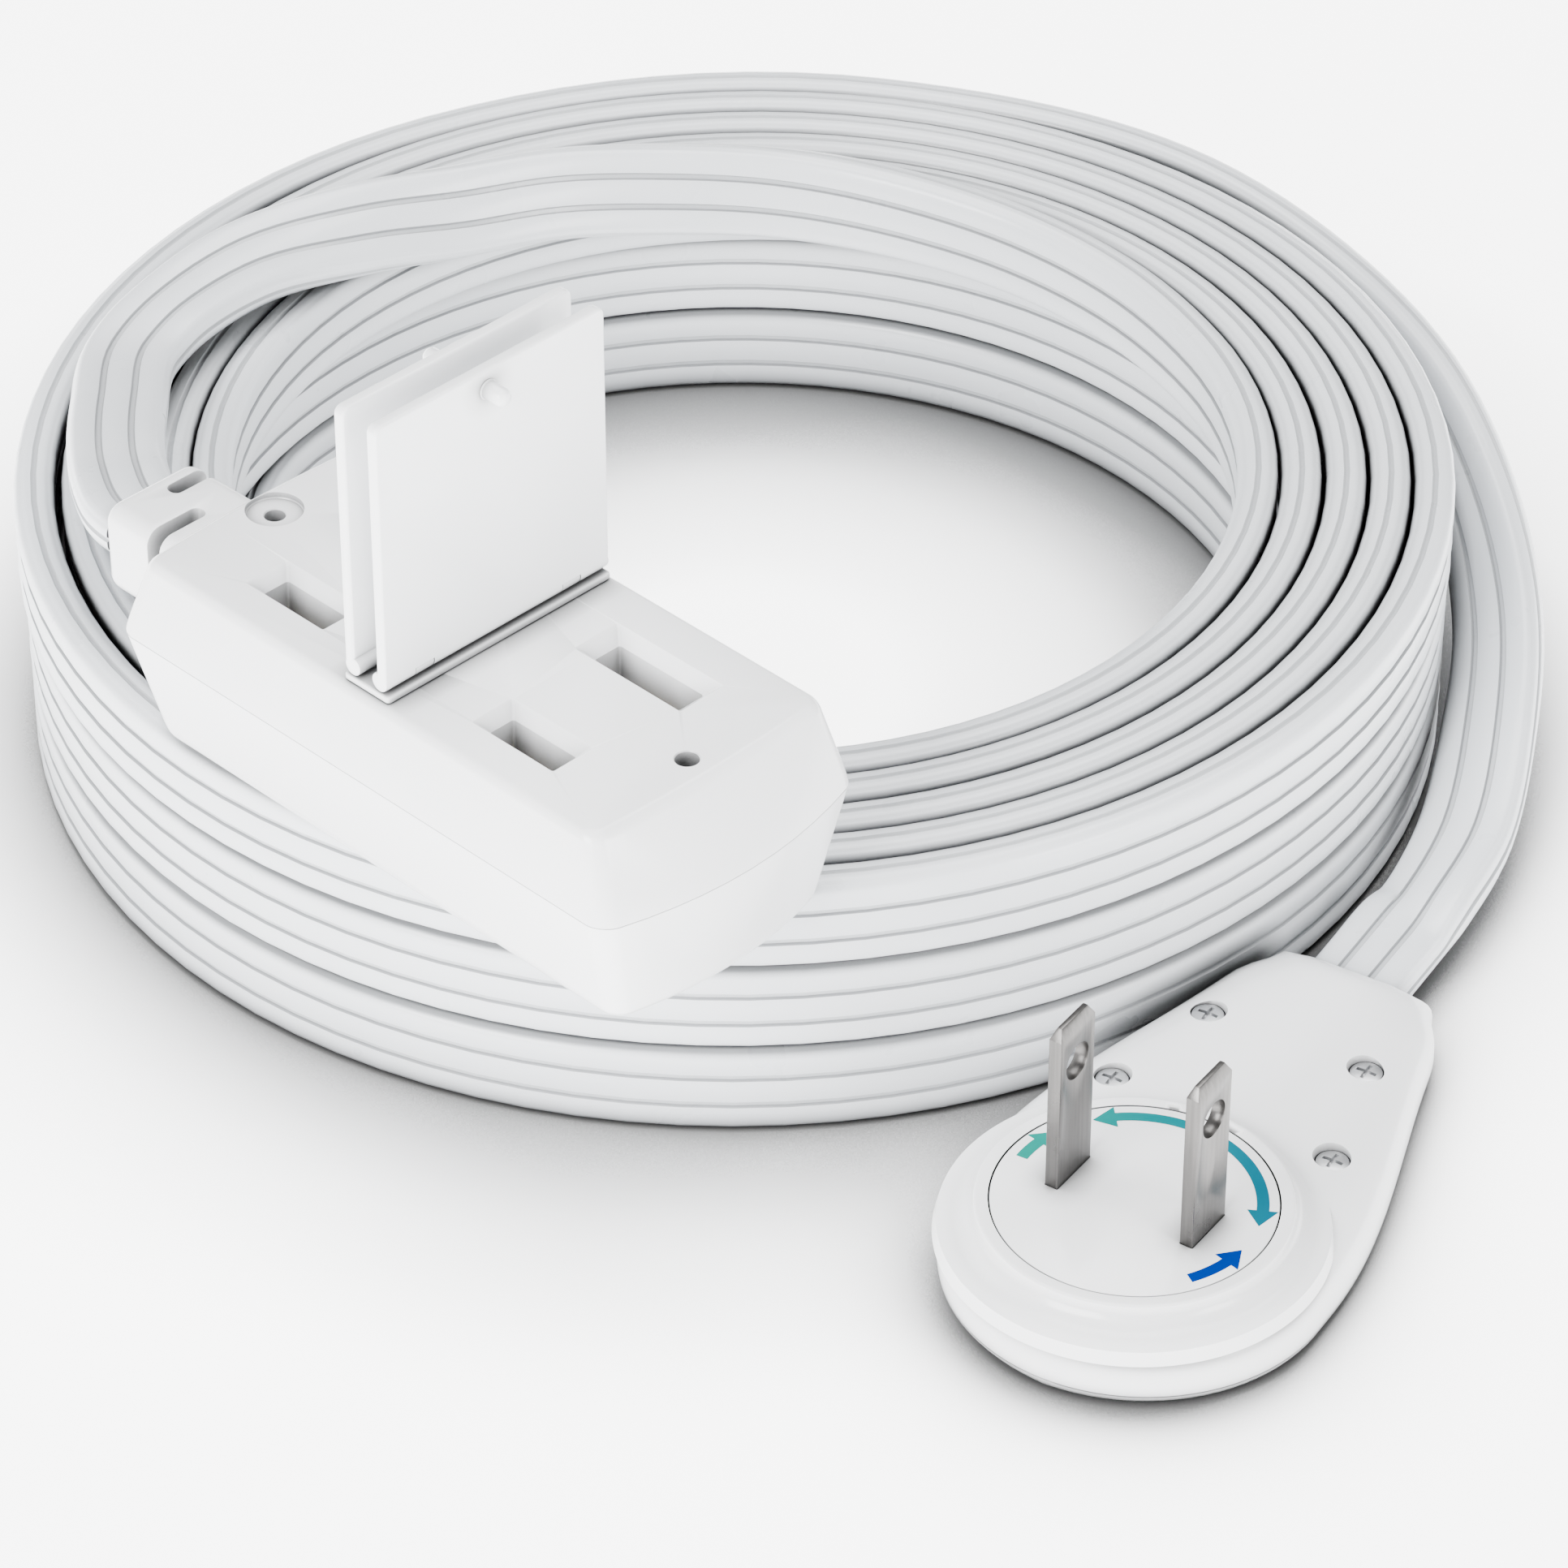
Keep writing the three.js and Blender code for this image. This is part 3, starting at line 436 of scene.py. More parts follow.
# The block lead from the strain relief, over the coil's left side, from the coil's axis.
FLAT_RUN = (
    (-49.5, -25.6, 35.7),
    (-50.8, -24.0, 35.7),
    (-52.3, -19.0, 35.0),
    (-53.4, -12.0, 33.2),
    (-54.1, -2.0, 31.0),
    (-54.0, 9.0, 29.2),
)
# Where it tips over the coil's edge and sinks inside: bearing, radius, height, tilt.
CLIMB = (
    (163, 53.3, 29.6, 88),
    (152, 50.2, 30.0, 74),
    (139, 46.3, 29.2, 52),
    (126, 44.3, 27.7, 36),
    (113, 43.8, 26.8, 29),
    (100, 43.6, 25.7, 23),
    (86, 44.1, 24.7, 16),
    (72, 44.6, 23.7, 9),
    (55, 45.3, 22.7, 4),
    (38, 45.8, 22.0, 2),
)
# Where the plug lead runs down the outside of the coil to the floor, in the same terms.
LEAVE = (
    (62, 64.1, 21.6, 0),
    (48, 65.5, 21.0, 0),
    (34, 66.4, 19.1, 7),
    (20, 67.2, 16.7, 20),
    (8, 67.6, 13.4, 35),
    (-4, 68.1, 10.1, 53),
    (-15, 68.5, 7.5, 71),
    (-25, 69.8, 5.2, 80),
    (-33, 70.5, 4.3, 76),
)
# Reach along the plug's axis and height of the lead's last points, the end inside the nose.
INTO_PLUG = ((48.0, 4.0), (43.0, 3.9), (38.0, PLUG_CORD_Z), (35.0, PLUG_CORD_Z))

WIND_START = 20.0
WIND_STEP = 4.0
INNER_LANE, SUNK_LANE = 46.1, 42.3
LOW_LANES = (49.7, 53.6, 57.55, 61.5)
# Radius of each turn of the top tier where it passes the left side, then the right side.
TOP_LANES = ((46.3, 49.95), (50.0, 53.85), (53.9, 57.75), (57.7, 61.65))
LAST_LANE = 61.9
BACK_SQUEEZE = 0.03
# A quarter of the cord's outline, from the middle of its edge to the middle of its face.
QUARTER = (
    (4.02, 0.0),
    (4.05, 0.14),
    (4.25, 0.27),
    (4.24, 0.68),
    (4.12, 1.06),
    (4.0, 1.18),
    (3.95, 1.37),
    (3.75, 1.61),
    (3.4, 1.76),
    (2.8, 1.8),
    (2.2, 1.78),
    (1.74, 1.68),
    (1.62, 1.44),
    (1.22, 1.44),
    (1.1, 1.68),
    (0.6, 1.77),
    (0.0, 1.8),
)


def station(bearing, radius, z, tilt):
    """A point of the cord around the coil and the direction across its width."""
    a, t = math.radians(bearing), math.radians(tilt)
    outward = np.array((math.cos(a), math.sin(a), 0.0))
    centre = outward * radius + np.array((COIL_CENTRE[0], COIL_CENTRE[1], z))
    return np.concatenate((centre, outward * math.sin(t) + np.array((0.0, 0.0, math.cos(t)))))


def spline(points, per_span):
    """Centripetal Catmull-Rom through rows that start with x, y, z."""
    rows = np.asarray(points, dtype=float)
    rows = np.vstack((2.0 * rows[0] - rows[1], rows, 2.0 * rows[-1] - rows[-2]))
    fine = []
    for i in range(1, len(rows) - 2):
        corners = rows[i - 1:i + 3]
        knots = [0.0]
        for a, b in zip(corners[:-1], corners[1:]):
            knots.append(knots[-1] + np.linalg.norm(b[:3] - a[:3]) ** 0.5)
        for step in range(per_span):
            fine.append(catmull(corners, knots, knots[1] + (knots[2] - knots[1]) * step / per_span))
    fine.append(rows[-2])
    return np.array(fine)


def catmull(corners, knots, t):
    """One point of the spline between its two middle corners."""
    level = list(corners)
    for order in (1, 2):
        finer = []
        for i in range(len(level) - 1):
            start, stop = knots[i], knots[i + order]
            finer.append(((stop - t) * level[i] + (t - start) * level[i + 1]) / (stop - start))
        level = finer
    return ((knots[2] - t) * level[0] + (t - knots[1]) * level[1]) / (knots[2] - knots[1])


def low_legs():
    """The hidden two lower tiers as (degrees, radius, height) legs, wound clockwise."""
    top, middle, bottom = TIERS[2], TIERS[1], TIERS[0]
    a, b, c, d = LOW_LANES
    return [
        (101, INNER_LANE, top), (24, SUNK_LANE, top), (65, SUNK_LANE, bottom), (45, a, bottom),
        (265, a, bottom), (26, b, bottom), (334, b, bottom), (24, c, bottom), (124, c, bottom),
        (26, d, bottom), (288, d, bottom), (40, d, middle), (286, d, middle), (24, c, middle),
        (268, c, middle), (24, b, middle), (308, b, middle), (24, a, middle), (304, a, middle),
        (25, INNER_LANE, middle), (20, INNER_LANE, middle), (43, INNER_LANE + 0.1, top),
        (32, TOP_LANES[0][0], top),
    ]


def top_legs():
    """The top tier as one spiral that moves a lane outwards each time it passes the back."""
    legs = []
    left_radii = [left for left, _ in TOP_LANES[1:]] + [LAST_LANE]
    for (_, right), next_left in zip(TOP_LANES, left_radii):
        legs.append((180, right, TIERS[2]))
        legs.append((180, next_left, TIERS[2]))
    return legs + [(62, 62.6, TIERS[2]), (41, 63.6, TIERS[2] + 0.05)]


def wound_stations():
    """Stations of the coil every few degrees, with the slight looseness of a real one."""
    bearing, radius, height = WIND_START, INNER_LANE, TIERS[2]
    rows = []
    for degrees, next_radius, next_height in low_legs() + top_legs():
        steps = max(1, round(degrees / WIND_STEP))
        for step in range(steps):
            share = smoothstep(step / steps)
            turn = math.radians(bearing - degrees * step / steps)
            r = radius + (next_radius - radius) * share
            z = height + (next_height - height) * share
            squeeze = 1.0 - BACK_SQUEEZE * max(0.0, math.sin(turn)) * smoothstep((z - 19.0) / 2.0)
            r = INNER_LANE + (r - INNER_LANE) * squeeze
            wander = noise.noise((r * 0.5, math.cos(turn) * 1.3, math.sin(turn) * 1.3))
            rows.append(station(math.degrees(turn), r + 0.05 * wander, z, 0.8 * wander))
        bearing -= degrees
        radius, height = next_radius, next_height
    return np.array(rows)


def block_lead():
    """The lead from the strain relief to the inside of the coil."""
    rows = []
    for i, (x, y, z) in enumerate(FLAT_RUN):
        before = FLAT_RUN[max(i - 1, 0)]
        after = FLAT_RUN[min(i + 1, len(FLAT_RUN) - 1)]
        across = np.array((before[1] - after[1], after[0] - before[0], 0.0))
        centre = np.array((x + COIL_CENTRE[0], y + COIL_CENTRE[1], z))
        rows.append(np.concatenate((centre, across / np.linalg.norm(across))))
    return rows + [station(*row) for row in CLIMB]


def plug_lead():
    """The lead from the outside of the coil to the plug's nose."""
    turn = math.radians(PLUG["turn"])
    axis = np.array((math.cos(turn), math.sin(turn), 0.0))
    across = np.array((math.sin(turn), -math.cos(turn), 0.0))
    rows = [station(*row) for row in LEAVE]
    for reach, z in INTO_PLUG:
        rows.append(np.concatenate((np.array((PLUG["x"], PLUG["y"], z)) + axis * reach, across)))
    return rows


def ribbed_section():
    """Outline of the cord as (across, out) points: three ribs to a face, a groove along each edge."""
    right_top = list(QUARTER)
    left_top = [(-w, t) for w, t in reversed(QUARTER[:-1])]
    left_bottom = [(-w, -t) for w, t in QUARTER[1:]]
    right_bottom = [(w, -t) for w, t in reversed(QUARTER[1:-1])]
    return np.array(right_top + left_top + left_bottom + right_bottom)


def sweep_cord(name, centres, acrosses):
    """The ribbed section carried along the cord, in metres."""
    section = ribbed_section()
    along = np.gradient(centres, axis=0)
    along /= np.linalg.norm(along, axis=1)[:, None]
    wide = acrosses - along * np.sum(acrosses * along, axis=1)[:, None]
    wide /= np.linalg.norm(wide, axis=1)[:, None]
    thick = np.cross(along, wide)
    rings = (
        centres[:, None, :]
        + section[None, :, 0, None] * wide[:, None, :]
        + section[None, :, 1, None] * thick[:, None, :]
    )
    return skin(name, rings * MM, smooth_angle=50.0)


def make_cord():
    """The whole cord from the strain relief to the plug as one piece."""
    coil = wound_stations()
    start = spline(block_lead() + [coil[0], coil[3]], 6)[:-7]
    end = spline([coil[-4], coil[-1]] + plug_lead(), 6)[7:]
    rows = np.vstack((start, coil, end))
    centres = rows[:, :3]
    cord = sweep_cord("ribbed_cord", centres, rows[:, 3:])
    claim(cord, "block", ("cord_coil", "cord_block_lead", "cord_plug_lead"), JACKET)
    length = float(np.sum(np.linalg.norm(np.diff(centres, axis=0), axis=1))) * MM
    print("cord length m", round(length, 3))
    path = [tuple(float(v) for v in point) for point in centres * MM]
    return cord, length, path


CORD, CORD_LENGTH, CORD_PATH = make_cord()


# ---------------------------------------------------------------- outlet block

def block_outline(size, inset=0.0):
    """Outline of the block: rounded corners and gently bowed ends."""
    length, width, bow = size
    radius = max(BLOCK_CORNER - inset, 0.5)
    a, b = length - inset, width - inset
    points = []
    for cx, cy, start in ((1, -1, -90), (1, 1, 0), (-1, 1, 90), (-1, -1, 180)):
        for step in range(9):
            angle = math.radians(start + 90.0 * step / 8.0)
            x = cx * (a - radius) + radius * math.cos(angle)
            points.append((x, cy * (b - radius) + radius * math.sin(angle)))
        if cy == -cx:
            for step in range(-4, 5):
                points.append((cx * a, cx * step * 0.18 * b))
    return [(x + math.copysign(end_bow(x, y, a, b, bow), x), y) for x, y in points]


def end_bow(x, y, half_length, half_width, bow):
    """How far the bowed end stands out beyond the corners at y."""
    near_end = max(0.0, 1.0 - (half_length - abs(x)) / BLOCK_CORNER)
    return bow * near_end * (1.0 - min(1.0, (y / half_width) ** 2))


def between(first, second, share):
    """Blend of two sizes."""
    return tuple(a + (b - a) * share for a, b in zip(first, second))


def block_loft(name, first, second, levels):
    """A stack of block outlines from (z, share between the two sizes, inset) levels."""
    rings = [ring_at(block_outline(between(first, second, share), inset), z) for z, share, inset in levels]
    return skin(name, placed(rings, BLOCK), smooth_angle=SHARP_ANGLE)


def slot_cutter(size, x, y):
    """The opening for one blade: a chamfered lead-in over a straight slot, its rim slightly eased."""
    length, width, rim_length, rim_width = size
    levels = [
        (SLEEVE_BOTTOM_Z - 0.5, length, width),
        (BLOCK_TOP_Z - 1.1, length, width),
        (BLOCK_TOP_Z - 0.12, rim_length - 0.25, rim_width - 0.2),
        (BLOCK_TOP_Z - 0.03, rim_length, rim_width),
        (BLOCK_TOP_Z + 0.3, rim_length + 0.9, rim_width + 0.9),
    ]
    rings = [ring_at(rectangle(a, b, x, y, 0.22), z) for z, a, b in levels]
    return skin("slot", placed(rings, BLOCK))


def outlet_slots():
    """Each slot's size and place."""
    for side in (-1, 1):
        x = side * OUTLET_OFFSET
        yield NEUTRAL_SLOT, x, ROW_CENTRE + POLE_SPACING / 2.0
        yield LINE_SLOT, x, ROW_CENTRE - POLE_SPACING / 2.0


def peg_hole(side):
    """The round catch for a cover's peg, with a shallow recess around the left one."""
    x = side * (HINGE_X + PEG_REACH)
    radius = 1.0 if side > 0 else 0.88
    top = BLOCK_TOP_Z if side > 0 else BLOCK_TOP_Z - 0.6
    eased = radius + 0.1
    profile = [(0, 42.5), (radius, 42.5), (radius, top - 0.1), (eased, top + 0.02), (eased, 46.5), (0, 46.5)]
    hole = turned("hole", profile, BLOCK, x, ROW_CENTRE)
    if side > 0:
        return [hole]
    recess = [(0, 45.0), (2.38, 45.0), (2.46, 45.1), (2.46, 45.58), (2.54, 45.64), (2.54, 46.2), (0, 46.2)]
    return [hole, turned("recess", recess, BLOCK, x, ROW_CENTRE)]


def socket_sleeves():
    """The walled sleeves under the slots and the bosses for the shell screws."""
    parts = []
    for (length, width, _, _), x, y in outlet_slots():
        a, b = length / 2.0 + SLEEVE_WALL, width / 2.0 + SLEEVE_WALL
        parts.append(box(x - a, x + a, y - b, y + b, SLEEVE_BOTTOM_Z, BLOCK_TOP_Z - 1.3, BLOCK))
    for side in (-1, 1):
        top = BLOCK_TOP_Z - 1.3
        parts.append(post(2.2, CREASE_Z + 0.4, top, BLOCK, side * SHELL_SCREW_X, ROW_CENTRE))
    return parts


def make_upper_shell():
    """The top half of the block with its four slots and two peg holes."""
    levels = (
        (38.205, 0.0, 0.05), (38.25, 0.0, 0.01), (38.42, 0.02, 0.0), (39.6, 0.16, 0.0), (44.75, 0.86, 0.0),
        (45.05, 0.92, 0.03), (45.28, 0.97, 0.11), (45.45, 1.0, 0.24), (45.55, 1.0, 0.4), (45.6, 1.0, 0.62),
    )
    shell = block_loft("upper_shell", CREASE_SIZE, TOP_SIZE, levels)
    inner = ((CREASE_Z - 1.0, 0.0, BLOCK_WALL), (BLOCK_TOP_Z - BLOCK_WALL, 0.75, BLOCK_WALL))
    shell = cut(shell, block_loft("cavity", CREASE_SIZE, TOP_SIZE, inner))
    for part in socket_sleeves():
        shell = joined(shell, part)
    cutters = [slot_cutter(size, x, y) for size, x, y in outlet_slots()]
    for side in (-1, 1):
        cutters.append(post(0.95, CREASE_Z - 1.0, 43.4, BLOCK, side * SHELL_SCREW_X, ROW_CENTRE, 24))
    shell = cut(shell, *cutters, angle=SHARP_ANGLE)
    shell = cut(shell, *peg_hole(-1), *peg_hole(1), angle=SHARP_ANGLE)
    claim(shell, "block", ("block_upper_shell",), SHELL)


def make_lower_shell():
    """The bottom half of the block, open above, with its screw posts and cord entry."""
    levels = (
        (26.6, 0.0, 1.5), (26.64, 0.0, 1.05), (26.8, 0.01, 0.6), (27.15, 0.05, 0.25), (27.7, 0.1, 0.06),
        (28.4, 0.16, 0.0), (37.7, 0.96, 0.0), (37.98, 0.98, 0.0), (38.15, 1.0, 0.01), (38.195, 1.0, 0.05),
    )
    shell = block_loft("lower_shell", BOTTOM_SIZE, CREASE_SIZE, levels)
    inner = ((BLOCK_BOTTOM_Z + BLOCK_WALL, 0.1, BLOCK_WALL), (CREASE_Z + 1.0, 1.0, BLOCK_WALL))
    shell = cut(shell, block_loft("cavity", BOTTOM_SIZE, CREASE_SIZE, inner))
    y = ROW_CENTRE
    shell = joined(shell, box(-17.5, 17.5, y - 0.5, y + 0.5, BLOCK_BOTTOM_Z + 1.0, CREASE_Z - 1.0, BLOCK))
    for side in (-1, 1):
        shell = joined(shell, post(2.2, BLOCK_BOTTOM_Z + 1.0, CREASE_Z - 0.3, BLOCK, side * SHELL_SCREW_X, y))
    shell = cut(shell, box(-34.0, -24.0, -4.5, 4.5, 32.2, CREASE_Z + 1.0, BLOCK))
    for side in (-1, 1):
        x = side * SHELL_SCREW_X
        well = [(0, 25.6), (2.1, 25.6), (1.95, 26.75), (1.95, 28.0), (1.1, 28.0), (1.1, 39.2), (0, 39.2)]
        shell = cut(shell, turned("well", well, BLOCK, x, y), angle=SHARP_ANGLE)
    claim(shell, "block", ("block_lower_shell",), SHELL)


def upright(a, b, depth):
    """A slab's outline standing in the Y-Z plane."""
    return (depth, a, b)


def lying(a, b, depth):
    """A slab's outline lying in the X-Y plane."""
    return (a, b, depth)


def strip_outline(inset):
    """Outline of the strip between the covers."""
    return rectangle(2.0 * (STRIP_HALF_WIDTH - inset), COVER_WIDTH - 2.0 * inset, corner=0.3)


def make_hinge_strip():
    """The strip between the covers with its four hinge knuckles."""
    base = BLOCK_TOP_Z + 0.05
    strip = slab("hinge_rail", strip_outline, base, base + STRIP_THICKNESS, 0.2, lying, BLOCK)
    for side in (-1, 1):
        for end in (-1, 1):
            y0 = end * KNUCKLE_Y - KNUCKLE_LENGTH / 2.0
            y1 = y0 + KNUCKLE_LENGTH
            x = side * HINGE_X
            knuckle = bar_along_y("knuckle", BARREL_RADIUS, y0, y1, x, HINGE_Z, BLOCK, 0.12)
            middle = x - side * 0.3
            foot = box(middle - 0.45, middle + 0.45, y0 + 0.05, y1 - 0.05, base + 0.3, HINGE_Z, BLOCK)
            bore = bar_along_y("bore", PIN_BORE_RADIUS, y0 - 1.0, y1 + 1.0, x, HINGE_Z, BLOCK)
            strip = cut(joined(joined(strip, foot), knuckle), bore)
    claim(strip, "block", ("hinge_strip",), SHELL)


def cover_outline(inset):
    """Outline of a cover: square at the hinge, its two free corners rounded."""
    half = COVER_WIDTH / 2.0 - inset
    top = HINGE_Z + COVER_REACH - inset
    radius = 0.75 - inset
    points = [(-half, HINGE_Z - 0.12), (half, HINGE_Z - 0.12)]
    for y, start in ((half - radius, 0.0), (radius - half, 90.0)):
        for step in range(7):
            angle = math.radians(start + 15.0 * step)
            points.append((y + radius * math.cos(angle), top - radius + radius * math.sin(angle)))
    return points


def cover_peg(outer, side):
    """The closing peg on a cover's outer face, its base eased and its tip rounded."""
    rings = []
    for reach, share in ((-0.4, 1.0), (0.06, 1.14), (0.16, 1.0), (1.75, 0.97), (2.05, 0.75), (2.2, 0.35)):
        ring = circle(PEG_RADIUS * share, ROW_CENTRE, HINGE_Z + PEG_REACH, 32)
        rings.append([(outer + side * reach, y, z) for y, z in ring])
    return skin("peg", placed(rings, BLOCK))


def hinge_gaps(x):
    """Cutters for a cover's pin bore and for the gaps that take the strip's knuckles."""
    bore_end = COVER_WIDTH / 2.0 - 0.25
    cutters = [bar_along_y("bore", PIN_BORE_RADIUS, -bore_end, bore_end, x, HINGE_Z, BLOCK)]
    reach = KNUCKLE_LENGTH / 2.0 + 0.025
    for end in (-1, 1):
        y0, y1 = end * KNUCKLE_Y - reach, end * KNUCKLE_Y + reach
        cutters.append(bar_along_y("gap", BARREL_RADIUS + 0.03, y0, y1, x, HINGE_Z, BLOCK))
        cutters.append(box(x - 1.4, x + 1.4, y0, y1, HINGE_Z - 2.0, HINGE_Z + 0.07, BLOCK))
    return cutters


def make_cover(label, side):
    """One flip-up cover: plate with eased edges, hinge barrel and closing peg."""
    x = side * HINGE_X
    outer = x + side * BARREL_RADIUS
    inner = outer - side * COVER_THICKNESS
    plate = slab(f"flip_{label}", cover_outline, min(inner, outer), max(inner, outer), 0.24, upright, BLOCK)
    half = COVER_WIDTH / 2.0
    barrel = bar_along_y("barrel", BARREL_RADIUS, -half, half, x, HINGE_Z, BLOCK, 0.15)
    peg = cover_peg(outer, side)
    cover = joined(joined(plate, barrel), peg)
    for cutter in hinge_gaps(x):
        cover = cut(cover, cutter)
    claim(cover, f"cover_{label}", (f"cover_{label}",), COVER)


def relief_ring(x, inset):
    """Cross-section of the strain relief: a rounded rectangle."""
    height = RELIEF_TOP_Z - RELIEF_BOTTOM_Z
    middle = (RELIEF_TOP_Z + RELIEF_BOTTOM_Z) / 2.0
    width = 2.0 * (RELIEF_HALF_WIDTH - inset)
    outline = rectangle(width, height - 2.0 * inset, 0.0, middle, 1.5 - inset * 0.5, 6)
    return [(x, y, z) for y, z in outline]


def make_strain_relief():
    """The moulded sleeve round the cord with its two flex slots."""
    ends = ((0.0, 0.75), (0.12, 0.42), (0.4, 0.16), (0.8, 0.03), (1.2, 0.0))
    rings = [relief_ring(RELIEF_OUTER + reach, inset) for reach, inset in ends]
    rings += [relief_ring(-36.0, 0.0), relief_ring(RELIEF_INNER, 0.0)]
    relief = skin("cord_sleeve", placed(rings, BLOCK))
    relief = joined(relief, box(RELIEF_INNER - 1.0, -26.4, -4.2, 4.2, 32.5, 37.6, BLOCK))
    floor = RELIEF_TOP_Z - 5.0
    far_x, near_x = RELIEF_OUTER + 1.6, RELIEF_OUTER + 5.6
    width = 1.5
    beyond = RELIEF_HALF_WIDTH + 1.5
    far_outline = rectangle(width, beyond - 0.2, far_x + width / 2.0, 0.5 + (beyond - 0.5) / 2.0, 0.7, 6)
    near_outline = rectangle(width, beyond + 0.5, near_x + width / 2.0, 0.25 - beyond / 2.0, 0.7, 6)
    for outline in (far_outline, near_outline):
        levels = [ring_at(outline, z) for z in (floor, RELIEF_TOP_Z + 1.0)]
        relief = cut(relief, skin("flex_slot", placed(levels, BLOCK)))
    claim(rounded(relief, 0.12), "block", ("strain_relief",), SHELL)


make_upper_shell()
make_lower_shell()
make_hinge_strip()
make_cover("left", -1)
make_cover("right", 1)
make_strain_relief()


# ---------------------------------------------------------------- plug

def plug_half_width(along):
    """Half-width of the plug at a distance along its axis, a round head running into a nose."""
    head = math.sqrt(max(0.0, HEAD_RADIUS ** 2 - min(along - 1.2, 0.0) ** 2))
    narrowing = smoothstep((along - 4.0) / (NOSE_REACH + 2.0))
    shoulder = smoothstep((along - NOSE_REACH + 6.0) / 6.0) ** 2
    return head - (HEAD_RADIUS - NOSE_HALF_WIDTH - 2.2) * narrowing - 1.6 * shoulder


def plug_outline(inset=0.0):
    """Outline of the plug shrunk by an inset."""
    back = 1.2 - HEAD_RADIUS
    middle, half = (back + NOSE_REACH) / 2.0, (NOSE_REACH - back) / 2.0
    stations = [1.2 - HEAD_RADIUS * math.cos(math.radians(a)) for a in range(4, 91, 4)]
    stations += [1.2 + (NOSE_REACH - 1.2) * step / 26.0 for step in range(1, 27)]
    near = []
    for along in stations:
        drawn_in = middle + (along - middle) * (half - inset) / half
        near.append((drawn_in, -(plug_half_width(along) - inset)))
    end_width = plug_half_width(NOSE_REACH) - inset
    tip = [(NOSE_REACH + 0.5 - inset, share * end_width) for share in (-0.6, 0.0, 0.6)]
    far = [(x, -y) for x, y in reversed(near)]
    return [(back + inset, 0.0)] + near + tip + far


def plug_loft(name, levels):
    """A stack of plug outlines from (z, inset) levels."""
    rings = [ring_at(plug_outline(inset), z) for z, inset in levels]
    return skin(name, placed(rings, PLUG), smooth_angle=SHARP_ANGLE)


def collar_profile():
    """The raised round collar that flows down to the deck in a hollow curve."""
    points = [(0.0, 5.8), (16.2, 5.8), (15.9, PLUG_DECK_Z - 0.25)]
    for degrees in (90, 75, 60, 45, 30, 15, 0):
        a = math.radians(degrees)
        points.append((COLLAR_RADIUS + 2.2 * (1.0 - math.cos(a)), 9.0 - 1.75 * math.sin(a)))
    return points + [(12.91, 9.1), (12.82, 9.17), (12.65, PLUG_FACE_Z), (0.0, PLUG_FACE_Z)]


def make_upper_housing():
    """The plug's top half: rounded body, collar, turned recess, screw pockets and cord slot."""
    levels = (
        (1.67, 0.22), (1.74, 0.13), (1.95, 0.07), (2.4, 0.04), (3.0, 0.0),
        (3.7, 0.02), (4.3, 0.1), (4.9, 0.34), (5.45, 0.72), (5.95, 1.2),
        (6.4, 1.8), (6.8, 2.55), (7.08, 3.4), (7.23, 4.3), (7.3, 5.4),
    )
    housing = plug_loft("plug_top", levels)
    housing = joined(housing, turned("collar", collar_profile(), PLUG, sides=128), angle=SHARP_ANGLE)
    cavity = ((PLUG_PARTING_Z - 1.0, 1.6), (3.6, PLUG_WALL), (5.0, 2.7))
    housing = cut(housing, plug_loft("cavity", cavity))
    for along, across in PLUG_SCREWS:
        housing = joined(housing, post(2.1, 3.0, 5.6, PLUG, along, across))
    recess = [(0, 1.65), (12.6, 1.65), (12.6, 6.3), (11.77, 6.3), (11.77, 10.2), (0, 10.2)]
    housing = cut(housing, turned("recess", recess, PLUG, sides=128), angle=SHARP_ANGLE)
    top = PLUG_CORD_Z + 2.05
    housing = cut(housing, box(34.5, 44.0, -4.5, 4.5, PLUG_PARTING_Z - 1.0, top, PLUG), angle=SHARP_ANGLE)
    pocket = [(0, 0.65), (0.9, 0.65), (0.9, 5.9), (1.5, 5.9), (1.5, 6.95), (1.75, 7.45)]
    pocket += [(1.75, 9.0), (0, 9.0)]
    for along, across in PLUG_SCREWS:
        housing = cut(housing, turned("pocket", pocket, PLUG, along, across, 48), angle=SHARP_ANGLE)
    claim(housing, "block", ("plug_upper_housing",), SHELL)
    return housing


def make_lower_housing():
    """The plug's flat back half with its pivot post and screw bosses."""
    levels = (
        (0.0, 2.3), (0.06, 1.7), (0.2, 1.25), (0.5, 0.82),
        (0.9, 0.48), (1.3, 0.24), (1.56, 0.13), (1.63, 0.22),
    )
    housing = plug_loft("plug_back", levels)
    housing = cut(housing, plug_loft("cavity", ((1.0, 2.7), (PLUG_PARTING_Z + 1.0, 1.6))))
    housing = joined(housing, post(1.4, 0.8, 6.1, PLUG))
    for along, across in PLUG_SCREWS:
        housing = joined(housing, post(1.9, 0.8, 2.7, PLUG, along, across))
        housing = cut(housing, post(0.85, 0.7, 4.0, PLUG, along, across, 24))
    claim(housing, "block", ("plug_lower_housing",), SHELL)
    return housing


